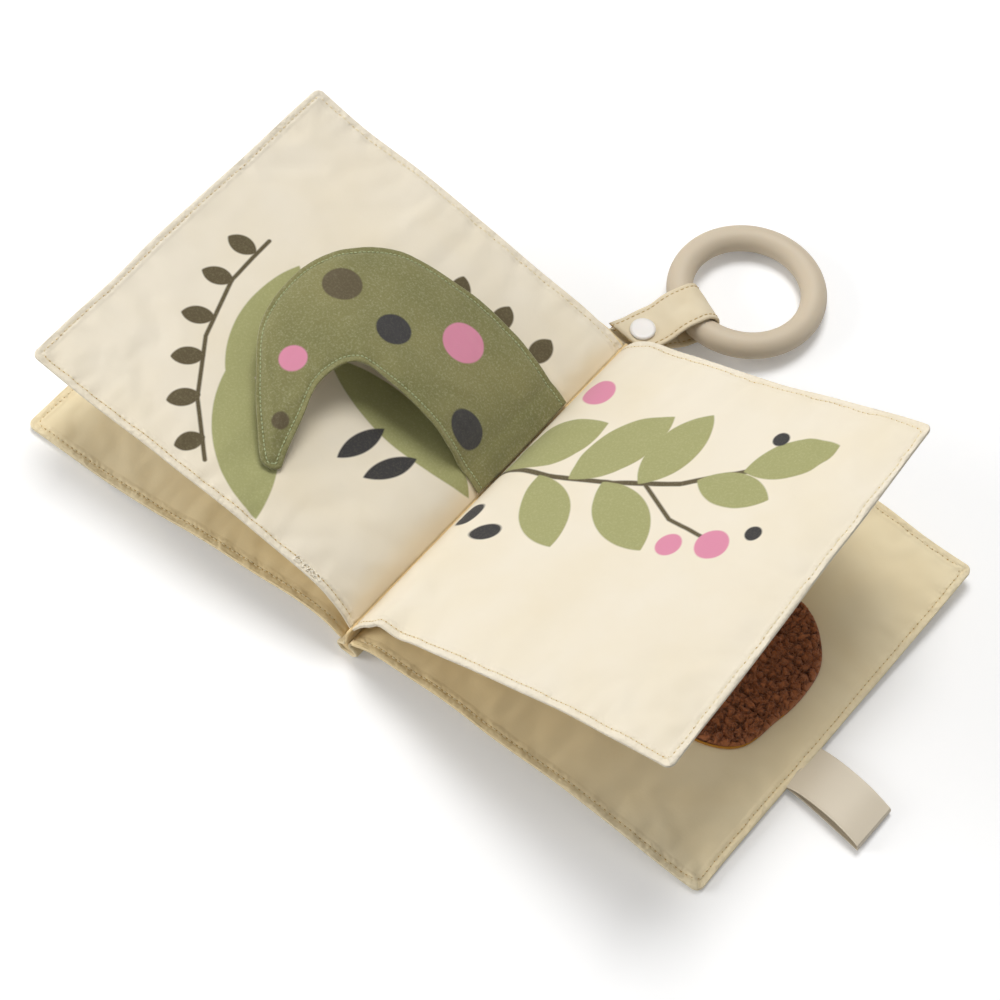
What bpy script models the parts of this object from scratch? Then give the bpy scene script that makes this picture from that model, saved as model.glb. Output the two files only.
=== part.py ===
# Crinkle cloth book with a teething ring, open at its middle pages.
# Metres, +Z up. +Y runs along the gutter from the near end to the far end,
# +X towards the right-hand leaves, and z = 0 is the table under the spine.
import bpy
import bmesh
import numpy as np
from math import atan2, cos, hypot, pi, radians, sin, tan
from mathutils import Vector

# Cloth and film
cloth_thickness = 0.0009          # one face of a leaf
film_thickness = 0.0006           # crinkle film between two faces
leaf_thickness = 0.0030           # both faces and the film, at the seam
seam_clearance = 0.0003           # between pieces that lie against each other
film_inset = 0.0080               # the film stops short of the seam
corner_radius = 0.0050            # a leaf's outer corners
page_crown = 0.0007               # how much fuller a page is away from its seams
cover_crown = 0.0006
crown_reach = 0.0300              # from the seam to the full crown

# Leaves along the gutter
cover_length = 0.1810
page_end_margin = 0.0035          # a page stops short of its cover at each end
page_length = cover_length - 2 * page_end_margin

# Gutter: all the leaves are pinched together by one stitched line
gutter_seam_width = 0.0010
gutter_seam_bottom = 0.0056
gutter_seam_top = 0.0137
page_root_height = 0.0132         # where the inner sheet leaves the stitched line
root_thickness = 0.0022           # a leaf is squeezed thin there

# Inner sheet: each side climbs out of the gutter to a shoulder, then the page lies over
left_shoulder_out = 0.0130
left_shoulder_near_height = 0.0290
left_shoulder_far_height = 0.0210
right_shoulder_out = 0.0130
right_shoulder_height = 0.0300
fold_bulge = 0.0014               # how far the climbing fold bows outwards
fold_clearance = 0.0006           # between a fold and the page that turns beside it

# Pages beyond their shoulders: level run and rise at the near and far seams
left_page_reach = 0.1560
left_page_near_run = 0.1530
left_page_near_rise = 0.0250
left_page_far_run = 0.1520
left_page_far_rise = 0.0373
left_page_skew = -0.0010
left_near_shares = ((0, 0), (0.05, 0.14), (0.16, 0.30), (0.27, 0.45), (0.39, 0.57),
                    (0.52, 0.65), (0.66, 0.70), (0.80, 0.78), (0.92, 0.90), (1, 1))
left_far_shares = ((0, 0), (0.05, 0.08), (0.21, 0.24), (0.42, 0.47), (0.63, 0.65),
                   (0.84, 0.80), (1, 1))
right_page_reach = 0.1550
right_page_far_shortfall = 0.0040
right_page_near_run = 0.1450
right_page_near_rise = 0.0570
right_page_far_run = 0.1340
right_page_far_rise = 0.0677
right_page_skew = -0.0013
right_near_shares = ((0, 0), (0.03, 0.05), (0.08, 0.10), (0.17, 0.20), (0.34, 0.42),
                     (0.60, 0.68), (0.77, 0.83), (0.92, 0.95), (1, 1))
right_far_shares = ((0, 0), (0.04, 0.045), (0.12, 0.11), (0.26, 0.25), (0.48, 0.45),
                    (0.69, 0.68), (0.89, 0.90), (1, 1))

# Covers: they arch away from the gutter and come down to the table
cover_root_height = 0.0099
cover_arch_height = 0.0152
cover_reach = 0.1720
front_cover_skew = -0.0019
back_cover_skew = 0.0047
back_cover_far_lift = 0.0060      # the back cover's far corner stands off the table
front_cover_shares = ((0.06, 0.97), (0.16, 1.0), (0.30, 0.78), (0.44, 0.55), (0.59, 0.24),
                      (0.74, 0.06), (0.88, 0.005), (1, 0.001))
back_cover_shares = ((0.07, 0.97), (0.20, 1.0), (0.34, 0.97), (0.50, 0.84), (0.62, 0.70),
                     (0.81, 0.30), (0.92, 0.08), (1, 0))

# Spine cloth: one soft pleat that hangs below the gutter and carries it
pleat_sheet_thickness = 0.0012
pleat_width = 0.0108
pleat_foot_width = 0.0060
pleat_belly_height = 0.0034
pleat_lip_top = 0.0079
pleat_lip_height = 0.0022

# Padded leaf-shaped flap, sewn into the gutter over the left page
flap_thickness = 0.0026
flap_cloth_thickness = 0.0008
flap_padding_thickness = 0.0004
flap_root_near = -0.0080          # the sewn root along the gutter
flap_root_length = 0.0570
flap_reach = 0.0980               # out across the page, from the shoulder
flap_drop = 0.1100                # its outline's extent along the gutter
flap_near_arch = 0.0190           # how far the middle of each edge stands above its ends
flap_far_arch = 0.0160
flap_page_clearance = 0.0008      # at the shoulder and at the resting tip
flap_edge_thickness = 0.0009      # the sewn edge in the gutter
flap_edge_start = 0.0030          # where it starts, up the fold from the stitched line
flap_roll_share = 1.6             # the rolled rim's width, as a share of half the thickness
padding_margin_share = 0.09       # the padding stops short of the flap's sides
padding_start_share = 0.03
padding_length_share = 0.90
flap_far_shares = ((0, 0.52), (0.20, 0.532), (0.466, 0.514), (0.791, 0.428), (0.97, 0.203),
                   (0.956, -0.088), (0.798, -0.295), (0.638, -0.447), (0.566, -0.505),
                   (0.527, -0.519))
flap_near_shares = ((0, 0), (0.075, -0.004), (0.158, -0.008), (0.357, -0.014), (0.538, -0.040),
                    (0.586, -0.182), (0.543, -0.315), (0.506, -0.422), (0.484, -0.468),
                    (0.475, -0.492))
flap_arch_shares = (0, 0.36, 0.70, 0.95, 1.0, 0.84, 0.50, 0.20, 0.04, 0)

# Sherpa patch on the back cover's inner page
patch_thickness = 0.0030
patch_centre_out = 0.1030
patch_centre_along = -0.0010
patch_half_out = 0.0510
patch_half_along = 0.0390
patch_clearance = 0.0007

# Care label: a ribbon loop sewn into the back cover's outer seam
label_width = 0.0220
label_reach = 0.0360
label_ribbon_thickness = 0.0005
label_loop_height = 0.0026
label_along = -0.0230
label_tip_height = 0.0017

# Ring strap, sewn into the spine's far end
strap_width = 0.0200
strap_thickness = 0.0016
strap_turn = radians(23)          # away from the gutter's direction, towards +X
strap_root_side = -0.0034
strap_root_height = 0.0084
strap_snap_height = 0.0076        # the lower leg under the snap
strap_level_start = 0.0050
strap_level_end = 0.0150
tongue_height = 0.0124            # the upper leg under the snap cap
tongue_end = 0.0015
leg_rise_share = 0.8              # where the lower leg starts to rise round the ring
tongue_crest_share = 0.6          # where the upper leg leaves the ring, of the tube's radius
tongue_sag_share = 0.4

# Teething ring
ring_radius = 0.0285              # to the middle of the tube
ring_tube_radius = 0.0056
ring_tilt = radians(4.2)
ring_from_root = 0.0310           # strap root to the middle of the tube
loop_slack = 0.0020               # the ring is curved and the loop is straight
loop_clearance = 0.0006

# Snap fastener
snap_from_root = 0.0090
snap_cap_radius = 0.0055
snap_cap_height = 0.0018
snap_rim_height = 0.0006
snap_prong_radius = 0.0008
snap_hole_radius = 0.0012
snap_stud_base_radius = 0.0042
snap_stud_base_height = 0.0010
snap_knob_radius = 0.0022
snap_knob_height = 0.0013
knob_top_share = 0.80             # the knob's flat top
knob_shoulder_share = 0.85
snap_socket_radius = 0.0047
snap_socket_height = 0.0013

# Grid rows: rolled seam first, as shares of half the leaf's thickness, then the panel
roll_inset_shares = (0, 0, 0.35, 1.1)
roll_height_shares = (0, 0.45, 0.85, 1)
page_across_shares = (0, 0.05, 0.13, 0.26, 0.42, 0.58, 0.74, 0.88, 1)
leaf_along_shares = (0, 0.16, 0.38, 0.62, 0.84, 1)
flap_across_shares = (0, 0.16, 0.34, 0.50, 0.66, 0.84, 1)
flap_along_shares = (0, 0.07, 0.14, 0.21, 0.28, 0.35, 0.42, 0.49, 0.56, 0.63, 0.70, 0.77, 0.84, 0.90,
                     0.96, 1)
patch_shares = (0, 0.12, 0.3, 0.5, 0.7, 0.88, 1)
label_fold_steps = 6
round_steps = 20
ring_steps = 44
tube_steps = 12
path_steps = 8
join_distance = 0.00001


for old in list(bpy.data.objects):
    bpy.data.objects.remove(old, do_unlink=True)

book = bpy.data.collections.new("crinkle_cloth_book")
cutters = bpy.data.collections.new("cutters")
bpy.context.scene.collection.children.link(book)
bpy.context.scene.collection.children.link(cutters)


def make_material(name, colour, roughness):
    material = bpy.data.materials.new(name)
    material.use_nodes = True
    shader = material.node_tree.nodes["Principled BSDF"]
    shader.inputs["Base Color"].default_value = (*colour, 1)
    shader.inputs["Roughness"].default_value = roughness
    shader.inputs["Metallic"].default_value = 0
    return material


cream_cotton = make_material("cream_cotton", (0.83, 0.77, 0.64), 0.9)
crinkle_film = make_material("crinkle_film", (0.75, 0.77, 0.78), 0.3)
olive_cloth = make_material("olive_cloth", (0.20, 0.21, 0.08), 0.9)
sherpa_fleece = make_material("sherpa_fleece", (0.17, 0.04, 0.02), 1.0)
satin_ribbon = make_material("satin_ribbon", (0.67, 0.60, 0.51), 0.5)
snap_plastic = make_material("snap_plastic", (0.80, 0.76, 0.72), 0.3)
ring_silicone = make_material("ring_silicone", (0.63, 0.54, 0.41), 0.55)

pivots = {}


def add_pivot(name, place, parent=None):
    """An empty on a joint's axis, which carries the pieces that move with it."""
    empty = bpy.data.objects.new(name, None)
    empty.empty_display_size = corner_radius
    book.objects.link(empty)
    pivots[name] = Vector(place)
    if parent:
        empty.parent = bpy.data.objects[parent]
        empty.location = pivots[name] - pivots[parent]
    else:
        empty.location = pivots[name]


def add_piece(name, mesh, material, pivot=None):
    """Link a piece whose mesh is in world places, and hang it on its pivot."""
    piece = bpy.data.objects.new(name, mesh)
    book.objects.link(piece)
    mesh.materials.append(material)
    if pivot:
        for vertex in mesh.vertices:
            vertex.co -= pivots[pivot]
        piece.parent = bpy.data.objects[pivot]
    return piece


def thicken(piece, thickness, offset):
    solidify = piece.modifiers.new("thickness", "SOLIDIFY")
    solidify.thickness = thickness
    solidify.offset = offset
    solidify.use_even_offset = False


def smooth_path(points):
    """Points along a smooth curve through the given ones."""
    places = [np.array(point, dtype=float) for point in points]
    ends = [2 * places[0] - places[1]] + places + [2 * places[-1] - places[-2]]
    path = []
    for before, start, end, after in zip(ends, ends[1:], ends[2:], ends[3:]):
        for step in range(path_steps):
            share = step / path_steps
            path.append(0.5 * (2 * start + (end - before) * share
                               + (2 * before - 5 * start + 4 * end - after) * share ** 2
                               + (3 * start - before - 3 * end + after) * share ** 3))
    path.append(places[-1])
    return np.array(path)


class Profile:
    """A curve that is read by the distance along it, straight on past its start."""

    def __init__(self, points):
        self.path = smooth_path(points)
        steps = np.linalg.norm(np.diff(self.path, axis=0), axis=1)
        self.distance = np.concatenate(([0.0], np.cumsum(steps)))
        self.start = (self.path[1] - self.path[0]) / steps[0]
        self.length = self.distance[-1]

    def at(self, distance):
        if distance < 0:
            return self.path[0] + self.start * distance
        return np.array([np.interp(distance, self.distance, column) for column in self.path.T])


class Leaf:
    """A leaf's middle surface, between its profiles at the near and far seams."""

    def __init__(self, near, far, reach, length, skew=0.0, shortfall=0.0, far_power=1):
        self.near, self.far = Profile(near), Profile(far)
        self.reach, self.length = reach, length
        self.skew, self.shortfall, self.far_power = skew, shortfall, far_power
        self.hand = 1 if near[-1][0] > near[0][0] else -1

    def middle(self, out, along):
        share = along / self.length
        blend = max(share, 0.0) ** self.far_power
        far_out = out * (1 - self.shortfall / self.reach) if out > 0 else out
        flat = self.near.at(out) * (1 - blend) + self.far.at(far_out) * blend
        slide = self.skew * max(out, 0.0) / self.reach
        return Vector((flat[0], along - self.length / 2 + slide, flat[1]))

    def at(self, out, along, lift=0.0):
        step = corner_radius / 10
        across = self.middle(out + step, along) - self.middle(out - step, along)
        up_gutter = self.middle(out, along + step) - self.middle(out, along - step)
        normal = (across.cross(up_gutter) * self.hand).normalized()
        return self.middle(out, along) + normal * lift


def crown_share(inset):
    """Zero at a seam, one from crown_reach inwards."""
    rest = 1 - min(inset / crown_reach, 1)
    return 1 - rest * rest


def seam_rows(size, half, corner, inner_shares):
    """Rows from one seam to the other: how far in each lies, and its share of the height."""
    rolled = [(half * inset, height) for inset, height in zip(roll_inset_shares, roll_height_shares)]
    inner = [(corner + share * (size - 2 * corner), 1) for share in inner_shares]
    return rolled + inner + [(size - inset, height) for inset, height in reversed(rolled)]


def grid_mesh(name, columns, rows, place, flip):
    """A grid whose points are placed by column and row."""
    work = bmesh.new()
    bmesh.ops.create_grid(work, x_segments=columns - 1, y_segments=rows - 1, size=1)
    for vertex in work.verts:
        column = round((vertex.co.x + 1) / 2 * (columns - 1))
        row = round((vertex.co.y + 1) / 2 * (rows - 1))
        vertex.co = place(column, row)
    bmesh.ops.remove_doubles(work, verts=work.verts, dist=join_distance)
    if flip:
        bmesh.ops.reverse_faces(work, faces=work.faces)
    mesh = bpy.data.meshes.new(name)
    work.to_mesh(mesh)
    work.free()
    mesh.shade_smooth()
    return mesh


def rounded(out, along, reach, length):
    """Bring the corner square's points onto a quarter circle at the outer corners."""
    in_from_edge = reach - out
    in_from_end = min(along, length - along)
    if in_from_edge >= corner_radius or in_from_end >= corner_radius:
        return out, along
    side, end = corner_radius - in_from_edge, corner_radius - in_from_end
    share = max(side, end) / hypot(side, end) if side or end else 1
    out = reach - corner_radius + side * share
    end_place = corner_radius - end * share
    return out, end_place if along < length / 2 else length - end_place


def leaf_cloth(name, leaf, face, crown, material, pivot=None):
    """One face of a leaf: a shell that is rolled down to the seam all round."""
    half = leaf_thickness / 2
    size = leaf.reach + half
    across = seam_rows(size, half, corner_radius, page_across_shares)
    along = seam_rows(leaf.length, half, corner_radius, leaf_along_shares)

    def place(column, row):
        (inset, share), (end, end_share) = across[column], along[row]
        out, length_place = rounded(inset - half, end, leaf.reach, leaf.length)
        nearest = min(inset, size - inset, end, leaf.length - end)
        height = max(half * min(share, end_share), seam_clearance / 2)
        return leaf.at(out, length_place, face * (height + crown * crown_share(nearest)))

    mesh = grid_mesh(name, len(across), len(along), place, face * leaf.hand < 0)
    thicken(add_piece(name, mesh, material, pivot), cloth_thickness, -1)


def film_rows(size, inner_shares):
    """The faces' own inner rows, so that the film keeps its distance, ended at film_inset."""
    inner = [corner_radius + share * (size - 2 * corner_radius) for share in inner_shares[1:-1]]
    return [film_inset] + inner + [size - film_inset]


def leaf_film(name, leaf, pivot=None):
    """The crinkle film: a flat sheet midway between the faces, inside the seam."""
    half = leaf_thickness / 2
    across = [inset - half for inset in film_rows(leaf.reach + half, page_across_shares)]
    along = film_rows(leaf.length, leaf_along_shares)
    mesh = grid_mesh(name, len(across), len(along),
                     lambda column, row: leaf.at(across[column], along[row]), leaf.hand < 0)
    thicken(add_piece(name, mesh, crinkle_film, pivot), film_thickness, 0)


def loft(name, sections, material, pivot=None):
    """A closed solid through outlines of like point counts, capped at both ends."""
    work = bmesh.new()
    rings = [[work.verts.new(point) for point in section] for section in sections]
    count = len(rings[0])
    for ring, following in zip(rings, rings[1:]):
        for corner in range(count):
            after = (corner + 1) % count
            work.faces.new((ring[corner], ring[after], following[after], following[corner]))
    work.faces.new(rings[0][::-1])
    work.faces.new(rings[-1])
    bmesh.ops.recalc_face_normals(work, faces=work.faces)
    mesh = bpy.data.meshes.new(name)
    work.to_mesh(mesh)
    work.free()
    mesh.shade_smooth()
    mesh.set_sharp_from_angle(angle=radians(40))
    return add_piece(name, mesh, material, pivot)


def band_outline(path, halves):
    """The outline of a band along a flat path, with half its thickness at each point."""
    directions = np.gradient(path, axis=0)
    directions /= np.linalg.norm(directions, axis=1)[:, None]
    sideways = np.stack((-directions[:, 1], directions[:, 0]), axis=1) * np.array(halves)[:, None]
    return np.concatenate((path + sideways, (path - sideways)[::-1]))


# Pivots of the moving pieces
root_out = gutter_seam_width / 2 + seam_clearance + leaf_thickness / 2
front_cover_axis = Vector((-root_out, 0, page_root_height))
left_shoulder_height = (left_shoulder_near_height + left_shoulder_far_height) / 2
left_page_axis = Vector((-left_shoulder_out, 0, left_shoulder_height))
right_page_axis = Vector((right_shoulder_out, 0, right_shoulder_height))
strap_axis = Vector((strap_root_side, cover_length / 2 + seam_clearance + strap_thickness / 2,
                     tongue_height + strap_thickness / 2))
add_pivot("front_cover_axis", front_cover_axis)
add_pivot("left_page_axis", left_page_axis, "front_cover_axis")
add_pivot("right_page_axis", right_page_axis)
add_pivot("strap_axis", strap_axis)


# Middle surfaces of the four leaves
def page_profile(shoulder_out, shoulder_height, run, rise, shares, hand):
    return [(hand * (shoulder_out + run * out), shoulder_height + rise * up) for out, up in shares]


def cover_profile(shares, lift, hand):
    rest = leaf_thickness / 2
    points = [(hand * root_out, cover_root_height)]
    for out, up in shares:
        height = rest + lift * out * out + (cover_arch_height - rest) * up
        points.append((hand * (root_out + cover_reach * out), height))
    return points


left_page = Leaf(
    page_profile(left_shoulder_out, left_shoulder_near_height,
                 left_page_near_run, left_page_near_rise, left_near_shares, -1),
    page_profile(left_shoulder_out, left_shoulder_far_height,
                 left_page_far_run, left_page_far_rise, left_far_shares, -1),
    left_page_reach, page_length, left_page_skew)
right_page = Leaf(
    page_profile(right_shoulder_out, right_shoulder_height,
                 right_page_near_run, right_page_near_rise, right_near_shares, 1),
    page_profile(right_shoulder_out, right_shoulder_height,
                 right_page_far_run, right_page_far_rise, right_far_shares, 1),
    right_page_reach, page_length, right_page_skew, right_page_far_shortfall)
front_cover = Leaf(cover_profile(front_cover_shares, 0, -1), cover_profile(front_cover_shares, 0, -1),
                   cover_reach, cover_length, front_cover_skew)
back_cover = Leaf(cover_profile(back_cover_shares, 0, 1),
                  cover_profile(back_cover_shares, back_cover_far_lift, 1),
                  cover_reach, cover_length, back_cover_skew, far_power=2)

flap_along = page_length / 2 + flap_root_near
flap_base = leaf_thickness / 2 + page_crown + flap_page_clearance + flap_thickness / 2
flap_axis = left_page.at(0, flap_along + flap_root_length / 2, flap_base)
add_pivot("flap_axis", flap_axis, "left_page_axis")

for name, leaf, crowns, pivot in (
        ("left_page", left_page, (page_crown, page_crown), "left_page_axis"),
        ("right_page", right_page, (page_crown, page_crown), "right_page_axis"),
        ("front_cover", front_cover, (cover_crown, 0), "front_cover_axis"),
        ("back_cover", back_cover, (cover_crown, 0), None)):
    leaf_cloth(name + "_upper_cloth", leaf, 1, crowns[0], cream_cotton, pivot)
    leaf_film(name + "_crinkle_film", leaf, pivot)
    leaf_cloth(name + "_under_cloth", leaf, -1, crowns[1], cream_cotton, pivot)


# Folds of the inner sheet, from the stitched line up to each shoulder
def fold_profile(hand, shoulder_out, shoulder_height):
    start = np.array((hand * root_out, page_root_height))
    end = np.array((hand * shoulder_out, shoulder_height))
    climb = (end - start) / np.linalg.norm(end - start)
    stop = end - climb * (leaf_thickness / 2 + fold_clearance)
    outwards = np.array((-climb[1], climb[0])) * -hand
    middle = (start + stop) / 2 - outwards * fold_bulge
    return start, middle, stop


def fold_section(points, along, offsets):
    path = smooth_path(points)[::2]
    shares = np.linspace(0, 1, len(path))
    if offsets:
        low, high = offsets
        directions = np.gradient(path, axis=0)
        directions /= np.linalg.norm(directions, axis=1)[:, None]
        path = path + np.stack((directions[:, 1], -directions[:, 0]), axis=1) * (high + low) / 2
        climbed = np.linalg.norm(path - path[0], axis=1)
        path = np.array([[np.interp(climb, climbed, column) for column in path.T]
                         for climb in np.linspace(flap_edge_start, climbed[-1], len(path))])
        halves = np.full(len(path), (high - low) / 2)
    else:
        halves = (root_thickness + (leaf_thickness - root_thickness) * shares) / 2
    return [Vector((x, along, z)) for x, z in band_outline(path, halves)]


def page_fold(name, hand, shoulder_out, near_height, far_height, start, end, pivot, offsets=None,
              material=cream_cotton):
    sections = []
    for along in np.linspace(start, end, 5):
        share = along / page_length + 0.5
        height = near_height + (far_height - near_height) * share
        sections.append(fold_section(fold_profile(hand, shoulder_out, height), along, offsets))
    loft(name, sections, material, pivot)


page_fold("left_page_gutter_fold", -1, left_shoulder_out, left_shoulder_near_height,
          left_shoulder_far_height, -page_length / 2, page_length / 2, "front_cover_axis")
page_fold("right_page_gutter_fold", 1, right_shoulder_out, right_shoulder_height,
          right_shoulder_height, -page_length / 2, page_length / 2, None)
flap_edge_low = leaf_thickness / 2 + seam_clearance
page_fold("flap_gutter_edge", -1, left_shoulder_out, left_shoulder_near_height,
          left_shoulder_far_height, flap_root_near, flap_root_near + flap_root_length,
          "front_cover_axis", (flap_edge_low, flap_edge_low + flap_edge_thickness), olive_cloth)


# The stitched line that pinches the leaves, and the spine cloth's pleat under it
def bar_section(half_width, bottom, top, along):
    return [Vector((side * half_width, along, height))
            for side, height in ((-1, bottom), (1, bottom), (1, top), (-1, top))]


loft("gutter_seam",
     [bar_section(gutter_seam_width / 2, gutter_seam_bottom, gutter_seam_top, end * cover_length / 2)
      for end in (-1, 1)], cream_cotton)

sheet_half = pleat_sheet_thickness / 2
lip_out = gutter_seam_width / 2 + seam_clearance + sheet_half
lip_foot = pleat_lip_top - pleat_lip_height
belly_out = pleat_width / 2 - sheet_half
pleat_side = [(lip_out, pleat_lip_top), (lip_out, lip_foot), (belly_out, pleat_belly_height)]
pleat_foot = pleat_foot_width / 2
pleat_right = smooth_path(pleat_side + [(pleat_foot, sheet_half)])[::3]
pleat_path = np.array([(-x, z) for x, z in pleat_right] + [(0, sheet_half)]
                      + [(x, z) for x, z in pleat_right[::-1]])
pleat_outline = band_outline(pleat_path, [sheet_half] * len(pleat_path))
pleat_outline[:, 1] = np.where(np.abs(pleat_outline[:, 0]) < pleat_foot,
                               np.maximum(pleat_outline[:, 1], 0), pleat_outline[:, 1])
pleat_outline[:, 1] -= pleat_outline[:, 1].min()
loft("spine_cloth",
     [[Vector((x, end * cover_length / 2, z)) for x, z in pleat_outline] for end in (-1, 1)],
     cream_cotton)


# Flap over the left page, arched between its sewn root and its tip
flap_far_edge = Profile([(flap_reach * out, flap_along + flap_drop * up, flap_far_arch * arch)
                         for (out, up), arch in zip(flap_far_shares, flap_arch_shares)])
flap_near_edge = Profile([(flap_reach * out, flap_along + flap_drop * up, flap_near_arch * arch)
                          for (out, up), arch in zip(flap_near_shares, flap_arch_shares)])
flap_half = flap_thickness / 2


def flap_place(share, across_share, lift):
    near = flap_near_edge.at(flap_near_edge.length * share)
    far = flap_far_edge.at(flap_far_edge.length * share)
    out, along, height = near * (1 - across_share) + far * across_share
    return left_page.at(out, along, flap_base + height + lift)


def flap_rows(size, inner_shares):
    return seam_rows(size, flap_half, flap_half * flap_roll_share, inner_shares)


def flap_cloth(name, face):
    length = (flap_near_edge.length + flap_far_edge.length) / 2
    rows = flap_rows(length, flap_along_shares)
    widths = [np.linalg.norm(flap_far_edge.at(flap_far_edge.length * end / length)
                             - flap_near_edge.at(flap_near_edge.length * end / length))
              for end, _ in rows]
    columns = [flap_rows(width, flap_across_shares) for width in widths]

    def place(column, row):
        (inset, side_share), (end, end_share) = columns[row][column], rows[row]
        height = max(flap_half * min(side_share, end_share), seam_clearance / 2)
        return flap_place(end / length, inset / widths[row], face * height)

    mesh = grid_mesh(name, len(columns[0]), len(rows), place, face > 0)
    thicken(add_piece(name, mesh, olive_cloth, "flap_axis"), flap_cloth_thickness, -1)


flap_cloth("flap_upper_cloth", 1)
flap_cloth("flap_under_cloth", -1)
padding_columns = [padding_margin_share + share * (1 - 2 * padding_margin_share)
                   for share in flap_across_shares]
padding_rows = [padding_start_share + share * padding_length_share for share in flap_along_shares]
padding_mesh = grid_mesh("flap_padding", len(padding_columns), len(padding_rows),
                         lambda column, row: flap_place(padding_rows[row], padding_columns[column], 0),
                         True)
thicken(add_piece("flap_padding", padding_mesh, crinkle_film, "flap_axis"), flap_padding_thickness, 0)


# Sherpa patch, an oval sewn flat on the back cover's inner page
def patch_place(column, row):
    side, end = patch_shares[column] * 2 - 1, patch_shares[row] * 2 - 1
    reach = max(abs(side), abs(end))
    share = reach / hypot(side, end) if reach else 1
    out = patch_centre_out - root_out + patch_half_out * side * share
    along = back_cover.length / 2 + patch_centre_along + patch_half_along * end * share
    inset = min(out, back_cover.reach - out, along, back_cover.length - along)
    base = leaf_thickness / 2 + cover_crown * crown_share(inset) + patch_clearance
    return back_cover.at(out, along, base)


patch_mesh = grid_mesh("sherpa_patch", len(patch_shares), len(patch_shares), patch_place, False)
thicken(add_piece("sherpa_patch", patch_mesh, sherpa_fleece), patch_thickness, 1)


# Care label: two plies of ribbon joined by a round fold at the tip
label_seam = back_cover.middle(cover_reach, back_cover.length / 2 + label_along)
label_root = label_seam + Vector((seam_clearance, 0, 0))
label_axis = label_root + Vector((0, 0, label_ribbon_thickness * 3 / 2))
add_pivot("label_axis", label_axis)


def label_path():
    half = label_loop_height / 2 - label_ribbon_thickness / 2
    tip = Vector((label_reach - half, label_tip_height - label_root.z))
    points = [(0, label_ribbon_thickness), (tip.x / 2, tip.y / 2 + half)]
    for step in range(label_fold_steps + 1):
        angle = pi / 2 - pi * step / label_fold_steps
        points.append((tip.x + half * cos(angle), tip.y + half * sin(angle)))
    points += [(tip.x / 2, tip.y / 2 - half), (0, -label_ribbon_thickness)]
    return np.array(points)


label_outline = band_outline(label_path(), [label_ribbon_thickness / 2] * len(label_path()))
label_skew = back_cover_skew / cover_reach
loft("care_label",
     [[label_root + Vector((x, side * label_width / 2 + label_skew * x, z))
       for x, z in label_outline] for side in (-1, 1)],
     satin_ribbon, "label_axis")


# Ring strap: lower leg under the ring, round it, and back on top to the snap
strap_forward = Vector((sin(strap_turn), cos(strap_turn), 0))
strap_sideways = Vector((cos(strap_turn), -sin(strap_turn), 0))
ring_lift = ring_tube_radius + 2 * ring_radius * sin(ring_tilt)
strap_half = strap_thickness / 2
bend_radius = ring_tube_radius + loop_clearance + strap_half
bend_from_root = ring_from_root + loop_slack
bend_steps = 10


def on_strap(forward, sideways, height):
    return (strap_axis + strap_forward * forward + strap_sideways * sideways
            + Vector((0, 0, height - strap_axis.z)))


leg_points = [(0, strap_root_height), (strap_level_start, strap_snap_height),
              (strap_level_end, strap_snap_height),
              (ring_from_root * leg_rise_share, ring_lift - bend_radius + strap_half),
              (bend_from_root, ring_lift - bend_radius)]
leg_path = [tuple(point) for point in smooth_path(leg_points)[::2]]
for step in range(1, bend_steps + 1):
    turn = -pi / 2 + pi * step / bend_steps
    leg_path.append((bend_from_root + bend_radius * cos(turn), ring_lift + bend_radius * sin(turn)))
tongue_points = [(bend_from_root - strap_half - seam_clearance, ring_lift + bend_radius),
                 (ring_from_root - ring_tube_radius * tongue_crest_share,
                  ring_lift + bend_radius - strap_half * tongue_sag_share),
                 ((strap_level_end + ring_from_root) / 2,
                  (tongue_height + ring_lift + bend_radius) / 2 + strap_half),
                 (strap_level_end, tongue_height), (tongue_end, tongue_height)]
tongue_path = [tuple(point) for point in smooth_path(tongue_points)[::2]]


def strap_sections(path):
    """Three outlines across the strap, whose root ends follow the spine's end seam."""
    outline = band_outline(np.array(path), [strap_half] * len(path))
    sections = []
    for side in (-0.5, 0, 0.5):
        points = []
        for forward, height in outline:
            shift = 0
            if forward < strap_level_start:
                shift = (1 - forward / strap_level_start) * side * strap_width * tan(strap_turn)
            points.append(on_strap(forward + shift, side * strap_width, height))
        sections.append(points)
    return sections


tongue_axis = on_strap(bend_from_root - strap_half - seam_clearance, 0, ring_lift + bend_radius)
add_pivot("tongue_axis", tongue_axis, "strap_axis")
ring_strap = loft("ring_strap", strap_sections(leg_path), cream_cotton, "strap_axis")
strap_tongue = loft("strap_tongue", strap_sections(tongue_path), cream_cotton, "tongue_axis")


def cut_round_hole(piece, place, radius, depth):
    bpy.ops.mesh.primitive_cylinder_add(vertices=round_steps // 2, radius=radius, depth=depth,
                                        location=place)
    cutter = bpy.context.object
    cutter.name = piece.name + "_hole"
    for collection in list(cutter.users_collection):
        collection.objects.unlink(cutter)
    cutters.objects.link(cutter)
    cutter.hide_render = True
    cutter.display_type = "WIRE"
    boolean = piece.modifiers.new("prong hole", "BOOLEAN")
    boolean.operation = "DIFFERENCE"
    boolean.object = cutter


hole_depth = strap_thickness * 3
cut_round_hole(ring_strap, on_strap(snap_from_root, 0, strap_snap_height), snap_hole_radius, hole_depth)
cut_round_hole(strap_tongue, on_strap(snap_from_root, 0, tongue_height), snap_hole_radius, hole_depth)


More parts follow.
